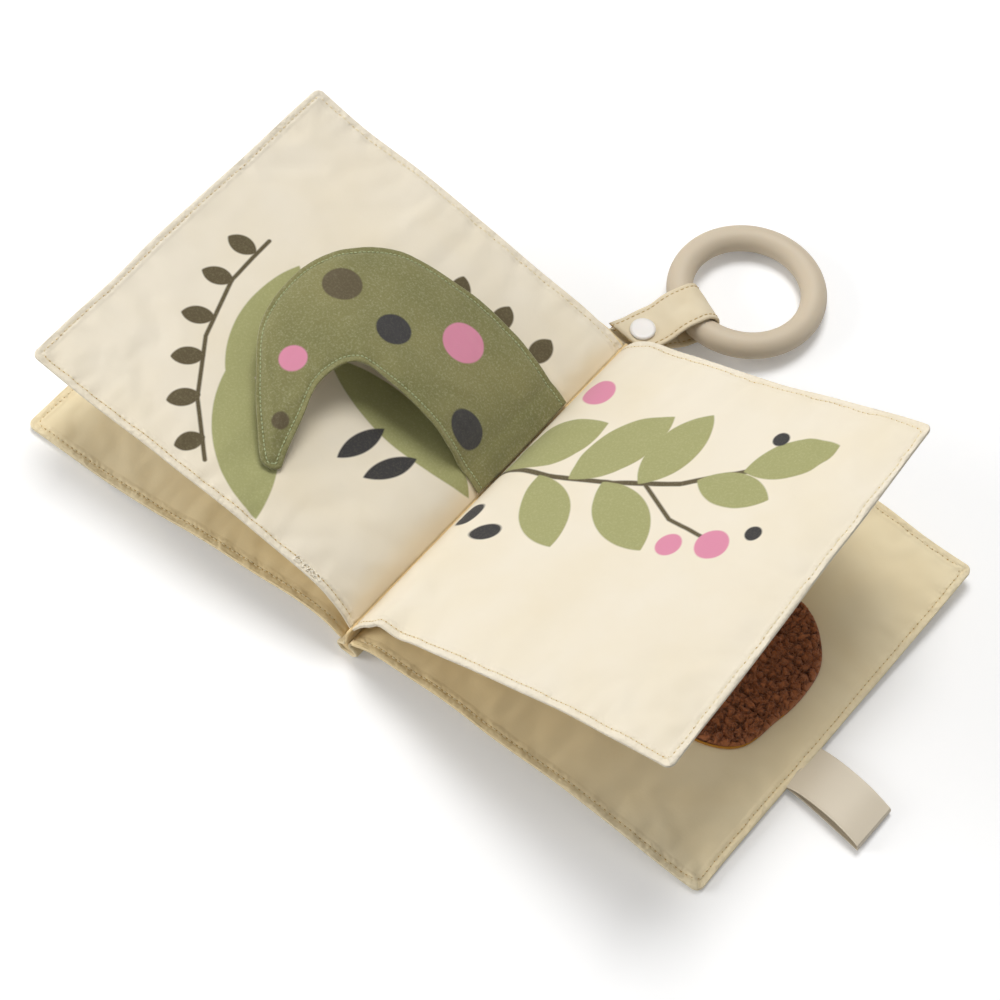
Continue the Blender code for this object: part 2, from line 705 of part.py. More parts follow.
def turned(name, profile, base, material, pivot, closed=False):
    """A profile of radius and height, turned about the vertical through base."""
    work = bmesh.new()
    points = [work.verts.new((radius, 0, height)) for radius, height in profile]
    for first, second in zip(points, points[1:]):
        work.edges.new((first, second))
    if closed:
        work.edges.new((points[-1], points[0]))
    mesh = bpy.data.meshes.new(name)
    work.to_mesh(mesh)
    work.free()
    piece = bpy.data.objects.new(name, mesh)
    book.objects.link(piece)
    mesh.materials.append(material)
    piece.parent = bpy.data.objects[pivot]
    piece.location = base - pivots[pivot]
    screw = piece.modifiers.new("turned", "SCREW")
    screw.steps = screw.render_steps = round_steps
    screw.use_merge_vertices = True
    screw.merge_threshold = join_distance
    return piece


def snap_head(direction):
    """A domed cap with its prong: from the dome's middle, round the rim, to the prong's end."""
    dome = [(snap_cap_radius * sin(turn), snap_rim_height + (snap_cap_height - snap_rim_height) * cos(turn))
            for turn in (0, pi / 8, pi / 4, 3 * pi / 8)]
    prong_end = -(strap_thickness + seam_clearance)
    points = dome + [(snap_cap_radius, snap_rim_height), (snap_cap_radius, 0),
                     (snap_prong_radius, 0), (snap_prong_radius, prong_end), (0, prong_end)]
    if direction < 0:
        points = [(radius, -height) for radius, height in reversed(points)]
    return points


cap_base = tongue_height + strap_half + seam_clearance
turned("snap_cap", snap_head(1), on_strap(snap_from_root, 0, cap_base), snap_plastic, "tongue_axis")
back_cap_base = strap_snap_height - strap_half - seam_clearance
turned("snap_back_cap", snap_head(-1), on_strap(snap_from_root, 0, back_cap_base), snap_plastic,
       "strap_axis")
stud_base = strap_snap_height + strap_half + seam_clearance
knob_top = snap_stud_base_height + snap_knob_height
stud_profile = [(0, knob_top), (snap_knob_radius * knob_top_share, knob_top),
                (snap_knob_radius, knob_top * knob_shoulder_share),
                (snap_knob_radius, snap_stud_base_height),
                (snap_stud_base_radius, snap_stud_base_height), (snap_stud_base_radius, 0), (0, 0)]
turned("snap_stud", stud_profile, on_strap(snap_from_root, 0, stud_base), snap_plastic, "strap_axis")
socket_top = tongue_height - strap_half - seam_clearance
socket_bore = snap_knob_radius + seam_clearance
socket_profile = [(socket_bore, 0), (snap_socket_radius, 0),
                  (snap_socket_radius, -snap_socket_height), (socket_bore, -snap_socket_height)]
turned("snap_socket", socket_profile, on_strap(snap_from_root, 0, socket_top), snap_plastic,
       "tongue_axis", closed=True)

# Teething ring, lying on the table and lifted a little where the strap holds it
ring_rise = Vector((0, 0, ring_radius * sin(ring_tilt)))
tube_middle = on_strap(ring_from_root, 0, ring_lift)
ring_centre = tube_middle + strap_forward * ring_radius * cos(ring_tilt) - ring_rise
bpy.ops.mesh.primitive_torus_add(major_segments=ring_steps, minor_segments=tube_steps,
                                 major_radius=ring_radius, minor_radius=ring_tube_radius)
ring = bpy.context.object
ring.name = "teething_ring"
for collection in list(ring.users_collection):
    collection.objects.unlink(ring)
book.objects.link(ring)
ring.data.materials.append(ring_silicone)
ring.data.shade_smooth()
ring_axis = (strap_forward * sin(ring_tilt) + Vector((0, 0, 1)) * cos(ring_tilt)).normalized()
ring.rotation_euler = ring_axis.to_track_quat("Z", "Y").to_euler()
ring.parent = bpy.data.objects["strap_axis"]
ring.location = ring_centre - pivots["strap_axis"]

for pivot_name, pivot_place in pivots.items():
    print(pivot_name, tuple(round(value, 5) for value in pivot_place))
print("ring centre", tuple(round(value, 5) for value in ring_centre),
      "and axis", tuple(round(value, 5) for value in ring_axis))
left_axis_rise = left_shoulder_far_height - left_shoulder_near_height
left_axis_tilt = atan2(left_axis_rise, page_length)
print("left page axis direction", (0, round(cos(left_axis_tilt), 5), round(sin(left_axis_tilt), 5)))
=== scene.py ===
# Crinkle cloth book with a teething ring, open at its middle pages: the finished look
import bpy
import bmesh
from math import cos, pi, radians, sin, tan
import numpy as np
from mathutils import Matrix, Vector


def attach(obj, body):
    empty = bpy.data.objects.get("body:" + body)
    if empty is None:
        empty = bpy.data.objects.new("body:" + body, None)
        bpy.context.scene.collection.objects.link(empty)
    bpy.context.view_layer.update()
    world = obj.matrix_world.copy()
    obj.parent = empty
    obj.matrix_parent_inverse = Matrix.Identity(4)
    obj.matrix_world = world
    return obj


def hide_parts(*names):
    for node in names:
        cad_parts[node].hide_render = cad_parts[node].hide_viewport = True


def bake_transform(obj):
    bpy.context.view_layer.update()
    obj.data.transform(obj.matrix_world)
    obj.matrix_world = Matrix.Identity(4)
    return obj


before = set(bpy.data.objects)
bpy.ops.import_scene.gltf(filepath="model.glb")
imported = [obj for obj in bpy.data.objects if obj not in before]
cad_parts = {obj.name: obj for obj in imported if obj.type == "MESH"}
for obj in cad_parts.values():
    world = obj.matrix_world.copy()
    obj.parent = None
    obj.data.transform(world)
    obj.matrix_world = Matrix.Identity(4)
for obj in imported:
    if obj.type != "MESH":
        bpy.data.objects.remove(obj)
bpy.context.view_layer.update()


# Camera
shot = {"azimuth": 39.2, "elevation": 58.0, "distance": 1.4, "lens": 123.3, "target": (0.0017, 0.0037, 0.0)}


def aim(piece, place, target):
    piece.location = place
    piece.rotation_euler = (Vector(target) - Vector(place)).to_track_quat("-Z", "Y").to_euler()


def makeCamera():
    turn, rise = radians(shot["azimuth"]), radians(shot["elevation"])
    back = Vector((sin(turn) * cos(rise), -cos(turn) * cos(rise), sin(rise)))
    camera = bpy.data.objects.new("camera", bpy.data.cameras.new("camera"))
    camera.data.lens = shot["lens"]
    camera.data.sensor_width = 36
    camera.data.clip_start, camera.data.clip_end = 0.05, 20
    bpy.context.scene.collection.objects.link(camera)
    aim(camera, Vector(shot["target"]) + back * shot["distance"], shot["target"])
    bpy.context.scene.camera = camera


makeCamera()
print("camera placed")


# Nodes and colours
def linear(hexCode):
    channels = [int(hexCode[i:i + 2], 16) / 255 for i in (0, 2, 4)]
    return tuple(c / 12.92 if c <= 0.04045 else ((c + 0.055) / 1.055) ** 2.4 for c in channels) + (1.0,)


def link(tree, node, sources):
    for socket, source in sources.items():
        if isinstance(source, bpy.types.Node):            # a node stands for its first live output
            source = next(output for output in source.outputs if output.enabled)
        if isinstance(source, bpy.types.NodeSocket):
            tree.links.new(source, node.inputs[socket])
        else:
            node.inputs[socket].default_value = source


def addNode(tree, kind, sources=None, **settings):
    node = tree.nodes.new(kind if "Node" in kind else "ShaderNode" + kind)
    for name, value in settings.items():
        setattr(node, name, value)
    link(tree, node, sources or {})
    return node


def newMaterial(name, roughness, specular, sheen=0.0, subsurface=0.0):
    material = bpy.data.materials.new(name)
    material.use_nodes = True
    tree = material.node_tree
    shader = tree.nodes["Principled BSDF"]
    link(tree, shader, {"Roughness": roughness, "Specular IOR Level": specular, "Sheen Weight": sheen,
                        "Sheen Roughness": 0.5, "Subsurface Weight": subsurface,
                        "Subsurface Radius": (0.0020, 0.0014, 0.0009), "Subsurface Scale": 1.0})
    return material, tree, shader


# Soft noise on lengths in metres, the same on every run
def softNoise(first, second, size, seed):
    lattice = np.random.default_rng(seed).uniform(-1, 1, (257, 257))
    u, v = first / size + 31.3, second / size + 17.7
    column, row = np.floor(u).astype(int), np.floor(v).astype(int)
    fu, fv = u - column, v - row
    fu, fv = fu * fu * (3 - 2 * fu), fv * fv * (3 - 2 * fv)
    pick = lambda a, b: lattice[a % 257, b % 257]
    low = pick(column, row) * (1 - fu) + pick(column + 1, row) * fu
    high = pick(column, row + 1) * (1 - fu) + pick(column + 1, row + 1) * fu
    return low * (1 - fv) + high * fv


def smoothPath(points, steps=8):
    places = [np.array(point, dtype=float) for point in points]
    ends = [2 * places[0] - places[1]] + places + [2 * places[-1] - places[-2]]
    path = []
    for before, start, end, after in zip(ends, ends[1:], ends[2:], ends[3:]):
        for share in np.arange(steps) / steps:
            path.append(0.5 * (2 * start + (end - before) * share
                               + (2 * before - 5 * start + 4 * end - after) * share ** 2
                               + (3 * start - before - 3 * end + after) * share ** 3))
    path.append(places[-1])
    return np.array(path)


def alongPath(path, distances):
    gaps = np.linalg.norm(np.diff(path, axis=0), axis=1)
    arcs = np.concatenate(([0.0], np.cumsum(gaps)))
    return np.stack([np.interp(distances, arcs, column) for column in path.T], axis=-1)


def pathLength(path):
    return np.linalg.norm(np.diff(path, axis=0), axis=1).sum()


def unit(vectors):
    return vectors / np.maximum(np.linalg.norm(vectors, axis=-1, keepdims=True), 1e-12)


# Meshes from grids of points
def linkMesh(name, vertices, faces, uv=None):
    mesh = bpy.data.meshes.new(name)
    mesh.from_pydata([tuple(v) for v in vertices], [], faces)
    mesh.validate()
    if uv is not None:
        layer = mesh.uv_layers.new(name="cut")
        corners = np.empty(len(mesh.loops), dtype=int)
        mesh.loops.foreach_get("vertex_index", corners)
        layer.data.foreach_set("uv", np.asarray(uv)[corners].astype(np.float32).ravel())
    mesh.shade_smooth()
    piece = bpy.data.objects.new(name, mesh)
    bpy.context.scene.collection.objects.link(piece)
    return piece


def outwards(piece):
    work = bmesh.new()
    work.from_mesh(piece.data)
    bmesh.ops.remove_doubles(work, verts=work.verts, dist=1e-6)
    bmesh.ops.dissolve_degenerate(work, edges=work.edges, dist=1e-7)
    bmesh.ops.recalc_face_normals(work, faces=work.faces)
    if work.calc_volume(signed=True) < 0:
        bmesh.ops.reverse_faces(work, faces=work.faces)
    work.to_mesh(piece.data)
    work.free()
    piece.data.shade_smooth()


def gridFaces(rows, columns, start=0, wrap=False):
    faces = []
    for row in range(rows - 1):
        for column in range(columns if wrap else columns - 1):
            after = (column + 1) % columns
            a, b = start + row * columns + column, start + row * columns + after
            faces.append((a, b, b + columns, a + columns))
    return faces


def shellPiece(name, top, bottom, cut):
    rows, columns = top.shape[:2]
    count = rows * columns
    vertices = np.concatenate((top.reshape(-1, 3), bottom.reshape(-1, 3)))
    faces = gridFaces(rows, columns)
    faces += [tuple(count + corner for corner in face[::-1]) for face in faces]
    border = ([(0, c) for c in range(columns)] + [(r, columns - 1) for r in range(1, rows)]
              + [(rows - 1, c) for c in range(columns - 2, -1, -1)] + [(r, 0) for r in range(rows - 2, 0, -1)])
    ring = [r * columns + c for r, c in border]
    for here, after in zip(ring, ring[1:] + ring[:1]):
        faces.append((after, here, count + here, count + after))
    uv = np.concatenate((cut.reshape(-1, 2), cut.reshape(-1, 2)))
    piece = linkMesh(name, vertices, faces, uv)
    outwards(piece)
    return piece


def paint(piece, material):
    piece.data.materials.clear()
    piece.data.materials.append(material)
    return piece


# Leaves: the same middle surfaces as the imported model's
seamGap = 0.0003
leafHalf = 0.0015
rootOut = 0.0023
pageRoot = {"out": 0.0007, "height": 0.0143}          # the two pages meet over the stitched line
foldSpan = 0.0170
leaves = {
    "leftPage": {"hand": -1, "length": 0.174, "reach": 0.156, "skew": -0.0010, "shortfall": 0.0, "farPower": 1,
                 "shoulderOut": 0.013, "nearHeight": 0.029, "farHeight": 0.021,
                 "nearRun": 0.153, "nearRise": 0.025, "farRun": 0.152, "farRise": 0.0373,
                 "near": ((0, 0), (0.05, 0.14), (0.16, 0.30), (0.27, 0.45), (0.39, 0.57), (0.52, 0.65),
                          (0.66, 0.70), (0.80, 0.78), (0.92, 0.90), (1, 1)),
                 "far": ((0, 0), (0.05, 0.08), (0.21, 0.24), (0.42, 0.47), (0.63, 0.65), (0.84, 0.80), (1, 1))},
    "rightPage": {"hand": 1, "length": 0.174, "reach": 0.155, "skew": -0.0013, "shortfall": 0.004, "farPower": 1,
                  "shoulderOut": 0.013, "nearHeight": 0.030, "farHeight": 0.030,
                  "nearRun": 0.145, "nearRise": 0.057, "farRun": 0.134, "farRise": 0.0677,
                  "near": ((0, 0), (0.03, 0.05), (0.08, 0.10), (0.17, 0.20), (0.34, 0.42), (0.60, 0.68),
                           (0.77, 0.83), (0.92, 0.95), (1, 1)),
                  "far": ((0, 0), (0.04, 0.045), (0.12, 0.11), (0.26, 0.25), (0.48, 0.45), (0.69, 0.68),
                          (0.89, 0.90), (1, 1))},
    "frontCover": {"hand": -1, "length": 0.181, "reach": 0.172, "skew": -0.0019, "shortfall": 0.0, "farPower": 1,
                   "lift": 0.0, "shares": ((0.06, 0.97), (0.16, 1.0), (0.30, 0.78), (0.44, 0.55), (0.59, 0.24),
                                           (0.74, 0.06), (0.88, 0.005), (1, 0.001))},
    "backCover": {"hand": 1, "length": 0.181, "reach": 0.172, "skew": 0.0047, "shortfall": 0.0, "farPower": 2,
                  "lift": 0.006, "shares": ((0.07, 0.97), (0.20, 1.0), (0.34, 0.97), (0.50, 0.84), (0.62, 0.70),
                                            (0.81, 0.30), (0.92, 0.08), (1, 0))},
}
coverRootHeight = 0.0099
coverArchHeight = 0.0152
foldBulge = 0.0014
tableStep = 0.0005


def pageTable(leaf, end):
    hand, height = leaf["hand"], leaf[end + "Height"]
    run, rise = leaf[end + "Run"], leaf[end + "Rise"]
    page = smoothPath([(hand * (leaf["shoulderOut"] + run * out), height + rise * up) for out, up in leaf[end]])
    start = np.array((hand * pageRoot["out"], pageRoot["height"]))
    stop = np.array((hand * leaf["shoulderOut"], height))
    climb = unit(stop - start)
    bow = np.array((-climb[1], climb[0])) * -hand
    fold = smoothPath([start, (start + stop) / 2 - bow * foldBulge, stop])
    outs = np.arange(-foldSpan, leaf["reach"] + tableStep / 2, tableStep)
    shrink = 1 - (leaf["shortfall"] / leaf["reach"] if end == "far" else 0)
    places = np.where((outs < 0)[:, None], alongPath(fold, (1 + np.minimum(outs, 0) / foldSpan) * pathLength(fold)),
                      alongPath(page, np.maximum(outs, 0) * shrink))
    reachOfKernel = 14                                    # rounds the shoulder over about 7 mm
    padded = np.concatenate((2 * places[0] - places[reachOfKernel:0:-1], places,
                             2 * places[-1] - places[-2:-reachOfKernel - 2:-1]))
    weights = np.exp(-(np.arange(-reachOfKernel, reachOfKernel + 1) / 6) ** 2)
    weights /= weights.sum()
    return outs, np.stack([np.convolve(column, weights, "valid") for column in padded.T], axis=-1)


def coverTable(leaf, lift):
    points = [(leaf["hand"] * rootOut, coverRootHeight)]
    points += [(leaf["hand"] * (rootOut + leaf["reach"] * out),
                leafHalf + lift * out * out + (coverArchHeight - leafHalf) * up) for out, up in leaf["shares"]]
    outs = np.arange(0, leaf["reach"] + tableStep / 2, tableStep)
    return outs, alongPath(smoothPath(points), outs)


for name, leaf in leaves.items():
    if "near" in leaf:
        leaf["outs"], leaf["nearTable"] = pageTable(leaf, "near")
        leaf["farTable"] = pageTable(leaf, "far")[1]
    else:
        leaf["outs"], leaf["nearTable"] = coverTable(leaf, 0)
        leaf["farTable"] = coverTable(leaf, leaf["lift"])[1]


def middleOf(leaf, out, along):
    out, along = np.broadcast_arrays(np.asarray(out, float), np.asarray(along, float))
    blend = np.clip(along / leaf["length"], 0, 1)[..., None] ** leaf["farPower"]
    read = lambda table: np.stack([np.interp(out, leaf["outs"], column) for column in table.T], axis=-1)
    flat = read(leaf["nearTable"]) * (1 - blend) + read(leaf["farTable"]) * blend
    beyond = np.maximum(out - leaf["outs"][-1], 0)[..., None]
    last = {end: unit(leaf[end][-1] - leaf[end][-4]) for end in ("nearTable", "farTable")}
    flat = flat + beyond * (last["nearTable"] * (1 - blend) + last["farTable"] * blend)
    slide = leaf["skew"] * np.maximum(out, 0) / leaf["reach"]
    return np.stack((flat[..., 0], along - leaf["length"] / 2 + slide, flat[..., 1]), axis=-1)


def normalOf(leaf, out, along):
    step = 0.0008
    low, high = np.maximum(out - step, leaf["outs"][0]), np.minimum(out + step, leaf["outs"][-1])
    across = middleOf(leaf, high, along) - middleOf(leaf, low, along)
    up = middleOf(leaf, out, along + step) - middleOf(leaf, out, along - step)
    return unit(np.cross(across, up) * leaf["hand"])


def onLeaf(leaf, out, along, lift=0.0):
    lift = np.asarray(lift)[..., None] if np.ndim(lift) else lift
    return middleOf(leaf, out, along) + normalOf(leaf, out, along) * lift


print("leaf surfaces ready")

# Sewn rim, seen across it: two turned plies with the seam between them, a dip at the topstitch, then the panel
rim = {"corner": 0.0034, "roll": 0.0009, "half": 0.00085, "notch": 0.0003, "stitchInset": 0.0029, "dip": 0.00042,
       "dipWidth": 0.0007, "stitchPitch": 0.0025, "stitchLength": 0.0018, "threadRadius": 0.00023, "holeRadius": 0.00020}
rimSteps = (rim["notch"], 0, 0.00012, 0.0003, 0.0006, 0.0009, 0.0014, 0.0020, 0.0024, 0.0027, 0.0029, 0.0031, 0.0034, 0.0040,
            0.0049, 0.0061, 0.0077, 0.0096)
panelStep = 0.0016
puffiness = {"crown": 0.0014, "wave": 0.00050, "pucker": 0.00048, "crinkle": 0.00016, "sway": 0.0006}
leafSeeds = {"leftPage": 7, "rightPage": 107, "frontCover": 207, "backCover": 307}

# Cloth simulation: a panel held at its seams, a little too big for them and blown up by the filling
panelCloth = {"width": 0.166, "length": 0.168, "step": 0.003, "growth": 0.006, "pressure": 4.0, "bend": 8.0, "frames": 16,
              "seeds": (5, 11), "crease": 0.00022, "cap": 0.0009, "broad": 7, "edgeFade": 0.005}


def simulatedPanel(seed):
    size = panelCloth
    columns, rows = round(size["width"] / size["step"]) + 1, round(size["length"] / size["step"]) + 1
    x, y = np.meshgrid(np.linspace(0, size["width"], columns), np.linspace(0, size["length"], rows))
    edge = np.minimum(np.minimum(x, size["width"] - x), np.minimum(y, size["length"] - y))
    z = np.random.default_rng(seed).uniform(-1, 1, x.shape) * 0.0001 * (edge > 0)
    faces = []
    for row in range(rows - 1):
        for column in range(columns - 1):
            a, b, c, d = (row * columns + column + step for step in (0, 1, columns, columns + 1))
            faces += [(a, b, d), (a, d, c)] if (row + column) % 2 else [(a, b, c), (b, d, c)]
    piece = linkMesh("panelCloth", np.stack((x, y, z), axis=-1).reshape(-1, 3), faces)
    held = piece.vertex_groups.new(name="held")
    held.add([int(i) for i in np.flatnonzero(edge.ravel() < size["step"] / 2)], 1.0, "REPLACE")
    cloth = piece.modifiers.new("cloth", "CLOTH")
    settings = cloth.settings
    settings.quality, settings.mass = 5, 0.15
    settings.tension_stiffness = settings.compression_stiffness = 20
    settings.shear_stiffness, settings.bending_stiffness = 10, size["bend"]
    settings.vertex_group_mass = "held"
    settings.shrink_min = -size["growth"]
    settings.use_pressure, settings.uniform_pressure_force = True, size["pressure"]
    settings.effector_weights.gravity = 0
    cloth.collision_settings.use_collision = False
    cloth.point_cache.frame_start, cloth.point_cache.frame_end = 1, size["frames"]
    for frameNumber in range(1, size["frames"] + 1):
        bpy.context.scene.frame_set(frameNumber)
    mesh = bpy.data.meshes.new_from_object(piece.evaluated_get(bpy.context.evaluated_depsgraph_get()))
    heights = np.array([vertex.co.z for vertex in mesh.vertices]).reshape(rows, columns)
    bpy.data.objects.remove(piece)
    bpy.context.scene.frame_set(1)
    weights = np.hanning(2 * size["broad"] + 1)
    weights /= weights.sum()
    smooth = heights
    for axis in (0, 1):
        smooth = np.apply_along_axis(
            lambda line: np.convolve(np.pad(line, size["broad"], mode="edge"), weights, "valid"), axis, smooth)
    creases = (heights - smooth) * np.clip(edge / size["edgeFade"], 0, 1)
    return np.clip(creases / creases.std() * size["crease"], -size["cap"], size["cap"])


creaseFields = [simulatedPanel(seed) for seed in panelCloth["seeds"]]
print("panel cloth simulated")


def creasesAt(number, first, second):
    if not creaseFields:
        return np.zeros(np.shape(first))
    field = creaseFields[number % 2]
    rows, columns = field.shape
    first = 1 - first if (number // 2) % 2 else first
    second = 1 - second if (number // 4) % 2 else second
    u, v = np.clip(first, 0, 1) * (columns - 1), np.clip(second, 0, 1) * (rows - 1)
    column, row = np.minimum(u.astype(int), columns - 2), np.minimum(v.astype(int), rows - 2)
    fu, fv = u - column, v - row
    low = field[row, column] * (1 - fu) + field[row, column + 1] * fu
    high = field[row + 1, column] * (1 - fu) + field[row + 1, column + 1] * fu
    return low * (1 - fv) + high * fv


def insets(size, startsOpen=False):
    inner = np.linspace(rimSteps[-1], size - rimSteps[-1], max(2, round((size - 2 * rimSteps[-1]) / panelStep)))
    steps = np.array(rimSteps)
    start = np.linspace(0, rimSteps[-1], 8) if startsOpen else steps
    return np.concatenate((start[:-1], inner, (size - steps[::-1])[1:]))


def roundedGrid(leaf, outs, alongs):
    out, along = np.meshgrid(outs, alongs)
    side = rim["corner"] - (leaf["reach"] - out)
    end = rim["corner"] - np.minimum(along, leaf["length"] - along)
    inCorner = (side > 0) & (end > 0)
    reach = np.maximum(side, end) / np.maximum(np.hypot(side, end), 1e-9)
    newOut = leaf["reach"] - rim["corner"] + side * reach
    newEnd = rim["corner"] - end * reach
    newAlong = np.where(along < leaf["length"] / 2, newEnd, leaf["length"] - newEnd)
    inset = np.minimum(leaf["reach"] - out, np.minimum(along, leaf["length"] - along))
    return np.where(inCorner, newOut, out), np.where(inCorner, newAlong, along), inset


def swayed(name, out, along):
    leaf, seed, size = leaves[name], leafSeeds[name], puffiness["sway"]
    outer = np.exp(-np.maximum(leaf["reach"] - out, 0) / 0.012)
    near, far = np.exp(-np.maximum(along, 0) / 0.012), np.exp(-np.maximum(leaf["length"] - along, 0) / 0.012)
    still = np.clip(out / 0.03, 0, 1)
    newOut = out + size * outer * softNoise(along, along * 0, 0.027, seed + 8)
    newAlong = along + size * still * (near * softNoise(out, out * 0, 0.027, seed + 9)
                                       + far * softNoise(out, out * 0, 0.027, seed + 10))
    return newOut, newAlong


def leafWave(name, out, along):
    leaf, seed = leaves[name], leafSeeds[name]
    wave = puffiness["wave"] * (softNoise(out, along, 0.045, seed + 5) + 0.6 * softNoise(out, along, 0.022, seed + 6))
    wave = wave * np.clip((out - leaf["outs"][0]) / 0.03, 0, 1)
    if "Cover" in name:
        return np.abs(wave)
    if name == "rightPage":                               # a hump where the near rim leaves the gutter
        wave = wave + np.exp(-np.maximum(along, 0) / 0.018) * (0.0020 * np.exp(-((out - 0.003) / 0.005) ** 2)
                                                               - 0.0012 * np.exp(-((out - 0.012) / 0.006) ** 2))
    return wave


def rimHeight(inset, half):
    low = np.clip(rim["roll"] - inset, 0, rim["roll"])
    edge = 0.45 + 0.55 * np.sqrt(np.maximum(rim["roll"] ** 2 - low * low, 0)) / rim["roll"]
    dip = rim["dip"] * np.exp(-((inset - rim["stitchInset"]) / rim["dipWidth"]) ** 2)
    return half * edge - dip * (inset > rim["roll"] / 2)


def crownShare(inset, reach=0.028):
    return 1 - (1 - np.clip((inset - rim["stitchInset"]) / reach, 0, 1)) ** 2


def ripples(leaf, out, along, inset, seed):
    fromSeam = np.clip((inset - 0.003) / 0.014, 0, 3)
    fade = fromSeam * np.exp(1 - fromSeam)
    nearOuter = leaf["reach"] - out < np.minimum(along, leaf["length"] - along)
    run = np.where(nearOuter, along, out)
    fan = np.exp(-((inset - 0.0045) / 0.0045) ** 2) + 0.45 * np.exp(-np.maximum(inset - 0.003, 0) / 0.012)
    pucker = (softNoise(run, inset * 0.5, 0.0048, seed) + 0.4 * softNoise(run, inset * 0.5, 0.0105, seed + 3)) * fan * (inset > 0.0004)
    crinkle = softNoise(out, along, 0.011, seed + 1) * fade + 0.5 * softNoise(out, along, 0.0055, seed + 2) * fade
    return puffiness["pucker"] * pucker + puffiness["crinkle"] * crinkle


def faceHeight(name, out, along, inset, face):
    leaf, flatBelow = leaves[name], "Cover" in name and face < 0
    half = leafHalf if flatBelow else rim["half"]
    root = np.clip((out - leaf["outs"][0]) / 0.012, 0, 1)
    panel = puffiness["crown"] * crownShare(inset) + ripples(leaf, out, along, inset, leafSeeds[name] + (face < 0) * 10)
    seam = rim["stitchInset"]
    panel = panel + creasesAt(leafSeeds[name] // 100 + 4 * (face < 0),
                              (out - leaf["outs"][0]) / (leaf["reach"] - seam - leaf["outs"][0]),
                              (along - seam) / (leaf["length"] - 2 * seam))
    height = rimHeight(inset, half) * (0.75 + 0.25 * root) + panel * root
    return np.minimum(height, half) if flatBelow else height


def leafFace(name, out, along, inset, face, lift=0.0):
    height = np.where(inset < 0, 0, np.maximum(faceHeight(name, out, along, inset, face), 0.0002)) + lift
    height = leafWave(name, out, along) + face * height
    return onLeaf(leaves[name], *swayed(name, out, along), height)


def leafPiece(name):
    leaf = leaves[name]
    outs = insets(leaf["reach"] - leaf["outs"][0], startsOpen=True) + leaf["outs"][0]
    out, along, inset = roundedGrid(leaf, outs, insets(leaf["length"]))
    inset[0, :] = inset[-1, :] = inset[:, -1] = -1        # the seam between the plies, set back into the rim
    top, bottom = leafFace(name, out, along, inset, 1), leafFace(name, out, along, inset, -1)
    if "Cover" in name:
        bottom[..., 2] = np.maximum(bottom[..., 2], 0.00002)
    return shellPiece(name, top, bottom, np.stack((out, along), axis=-1))


leafPieces = {}
for name in leaves:
    leafPieces[name] = leafPiece(name)
    print(name, "made")


# Geometry Nodes: every tree places one small shape many times, then makes it real and gives it its material
def pieceTree(name, sizes, layOut):
    tree = bpy.data.node_groups.new(name, "GeometryNodeTree")
    for label, kind in [("Geometry", "Geometry")] + [(size, "Float") for size in sizes] + [("Material", "Material")]:
        tree.interface.new_socket(label, in_out="INPUT", socket_type="NodeSocket" + kind)
    tree.interface.new_socket("Geometry", in_out="OUTPUT", socket_type="NodeSocketGeometry")
    given = addNode(tree, "NodeGroupInput").outputs
    points, shape, turn, size = layOut(tree, given)
    smooth = addNode(tree, "GeometryNodeSetShadeSmooth", {"Geometry": shape})
    placed = addNode(tree, "GeometryNodeInstanceOnPoints",
                     {"Points": points, "Instance": smooth, "Rotation": turn, "Scale": size})
    solid = addNode(tree, "GeometryNodeRealizeInstances", {"Geometry": placed})
    coloured = addNode(tree, "GeometryNodeSetMaterial", {"Geometry": solid, "Material": given["Material"]})
    addNode(tree, "NodeGroupOutput", {"Geometry": coloured})
    return tree


# Topstitches: one capsule of thread per stitch along a path
def stitchRun(tree, given):
    curve = addNode(tree, "GeometryNodeMeshToCurve", {"Mesh": given["Geometry"]})
    spaced = addNode(tree, "GeometryNodeResampleCurve", {"Curve": curve, "Length": given["Pitch"]}, mode="LENGTH")
    points = addNode(tree, "GeometryNodeCurveToPoints", {"Curve": spaced}, mode="EVALUATED").outputs
    heading = addNode(tree, "FunctionNodeAlignRotationToVector", {"Vector": points["Tangent"]}, axis="Z")
    longHalf = addNode(tree, "Math", {0: given["Length"], 1: 0.5}, operation="MULTIPLY")
    size = addNode(tree, "CombineXYZ", {0: given["Radius"], 1: given["Radius"], 2: longHalf})
    chance = addNode(tree, "FunctionNodeRandomValue",
                     {"Min": (0.92, 0.92, 0.88), "Max": (1.12, 1.12, 1.08), "Seed": 5}, data_type="FLOAT_VECTOR")
    varied = addNode(tree, "VectorMath", {0: size, 1: chance}, operation="MULTIPLY")
    thread = addNode(tree, "GeometryNodeMeshUVSphere", {"Segments": 6, "Rings": 5, "Radius": 1.0})
    return points["Points"], thread, heading, varied


stitches = pieceTree("stitches along a path", ("Pitch", "Length", "Radius"), stitchRun)


def runTree(piece, tree, sizes):
    modifier = piece.modifiers.new("tree", "NODES")
    modifier.node_group = tree
    for item in tree.interface.items_tree:
        if item.in_out == "INPUT" and item.name in sizes:
            modifier[item.identifier] = sizes[item.name]
    mesh = bpy.data.meshes.new_from_object(piece.evaluated_get(bpy.context.evaluated_depsgraph_get()))
    piece.modifiers.clear()
    mesh.name = piece.name
    piece.data = mesh
    return piece


def sew(name, paths, material, pitch=rim["stitchPitch"], length=rim["stitchLength"], radius=rim["threadRadius"]):
    vertices, edges = [], []
    for path in paths:
        first = len(vertices)
        vertices += [tuple(place) for place in path]
        edges += [(first + i, first + i + 1) for i in range(len(path) - 1)]
    guide = bpy.data.meshes.new(name + "Guide")
    guide.from_pydata(vertices, edges, [])
    piece = bpy.data.objects.new(name, guide)
    bpy.context.scene.collection.objects.link(piece)
    return runTree(piece, stitches, {"Pitch": pitch, "Length": length, "Radius": radius, "Material": material})


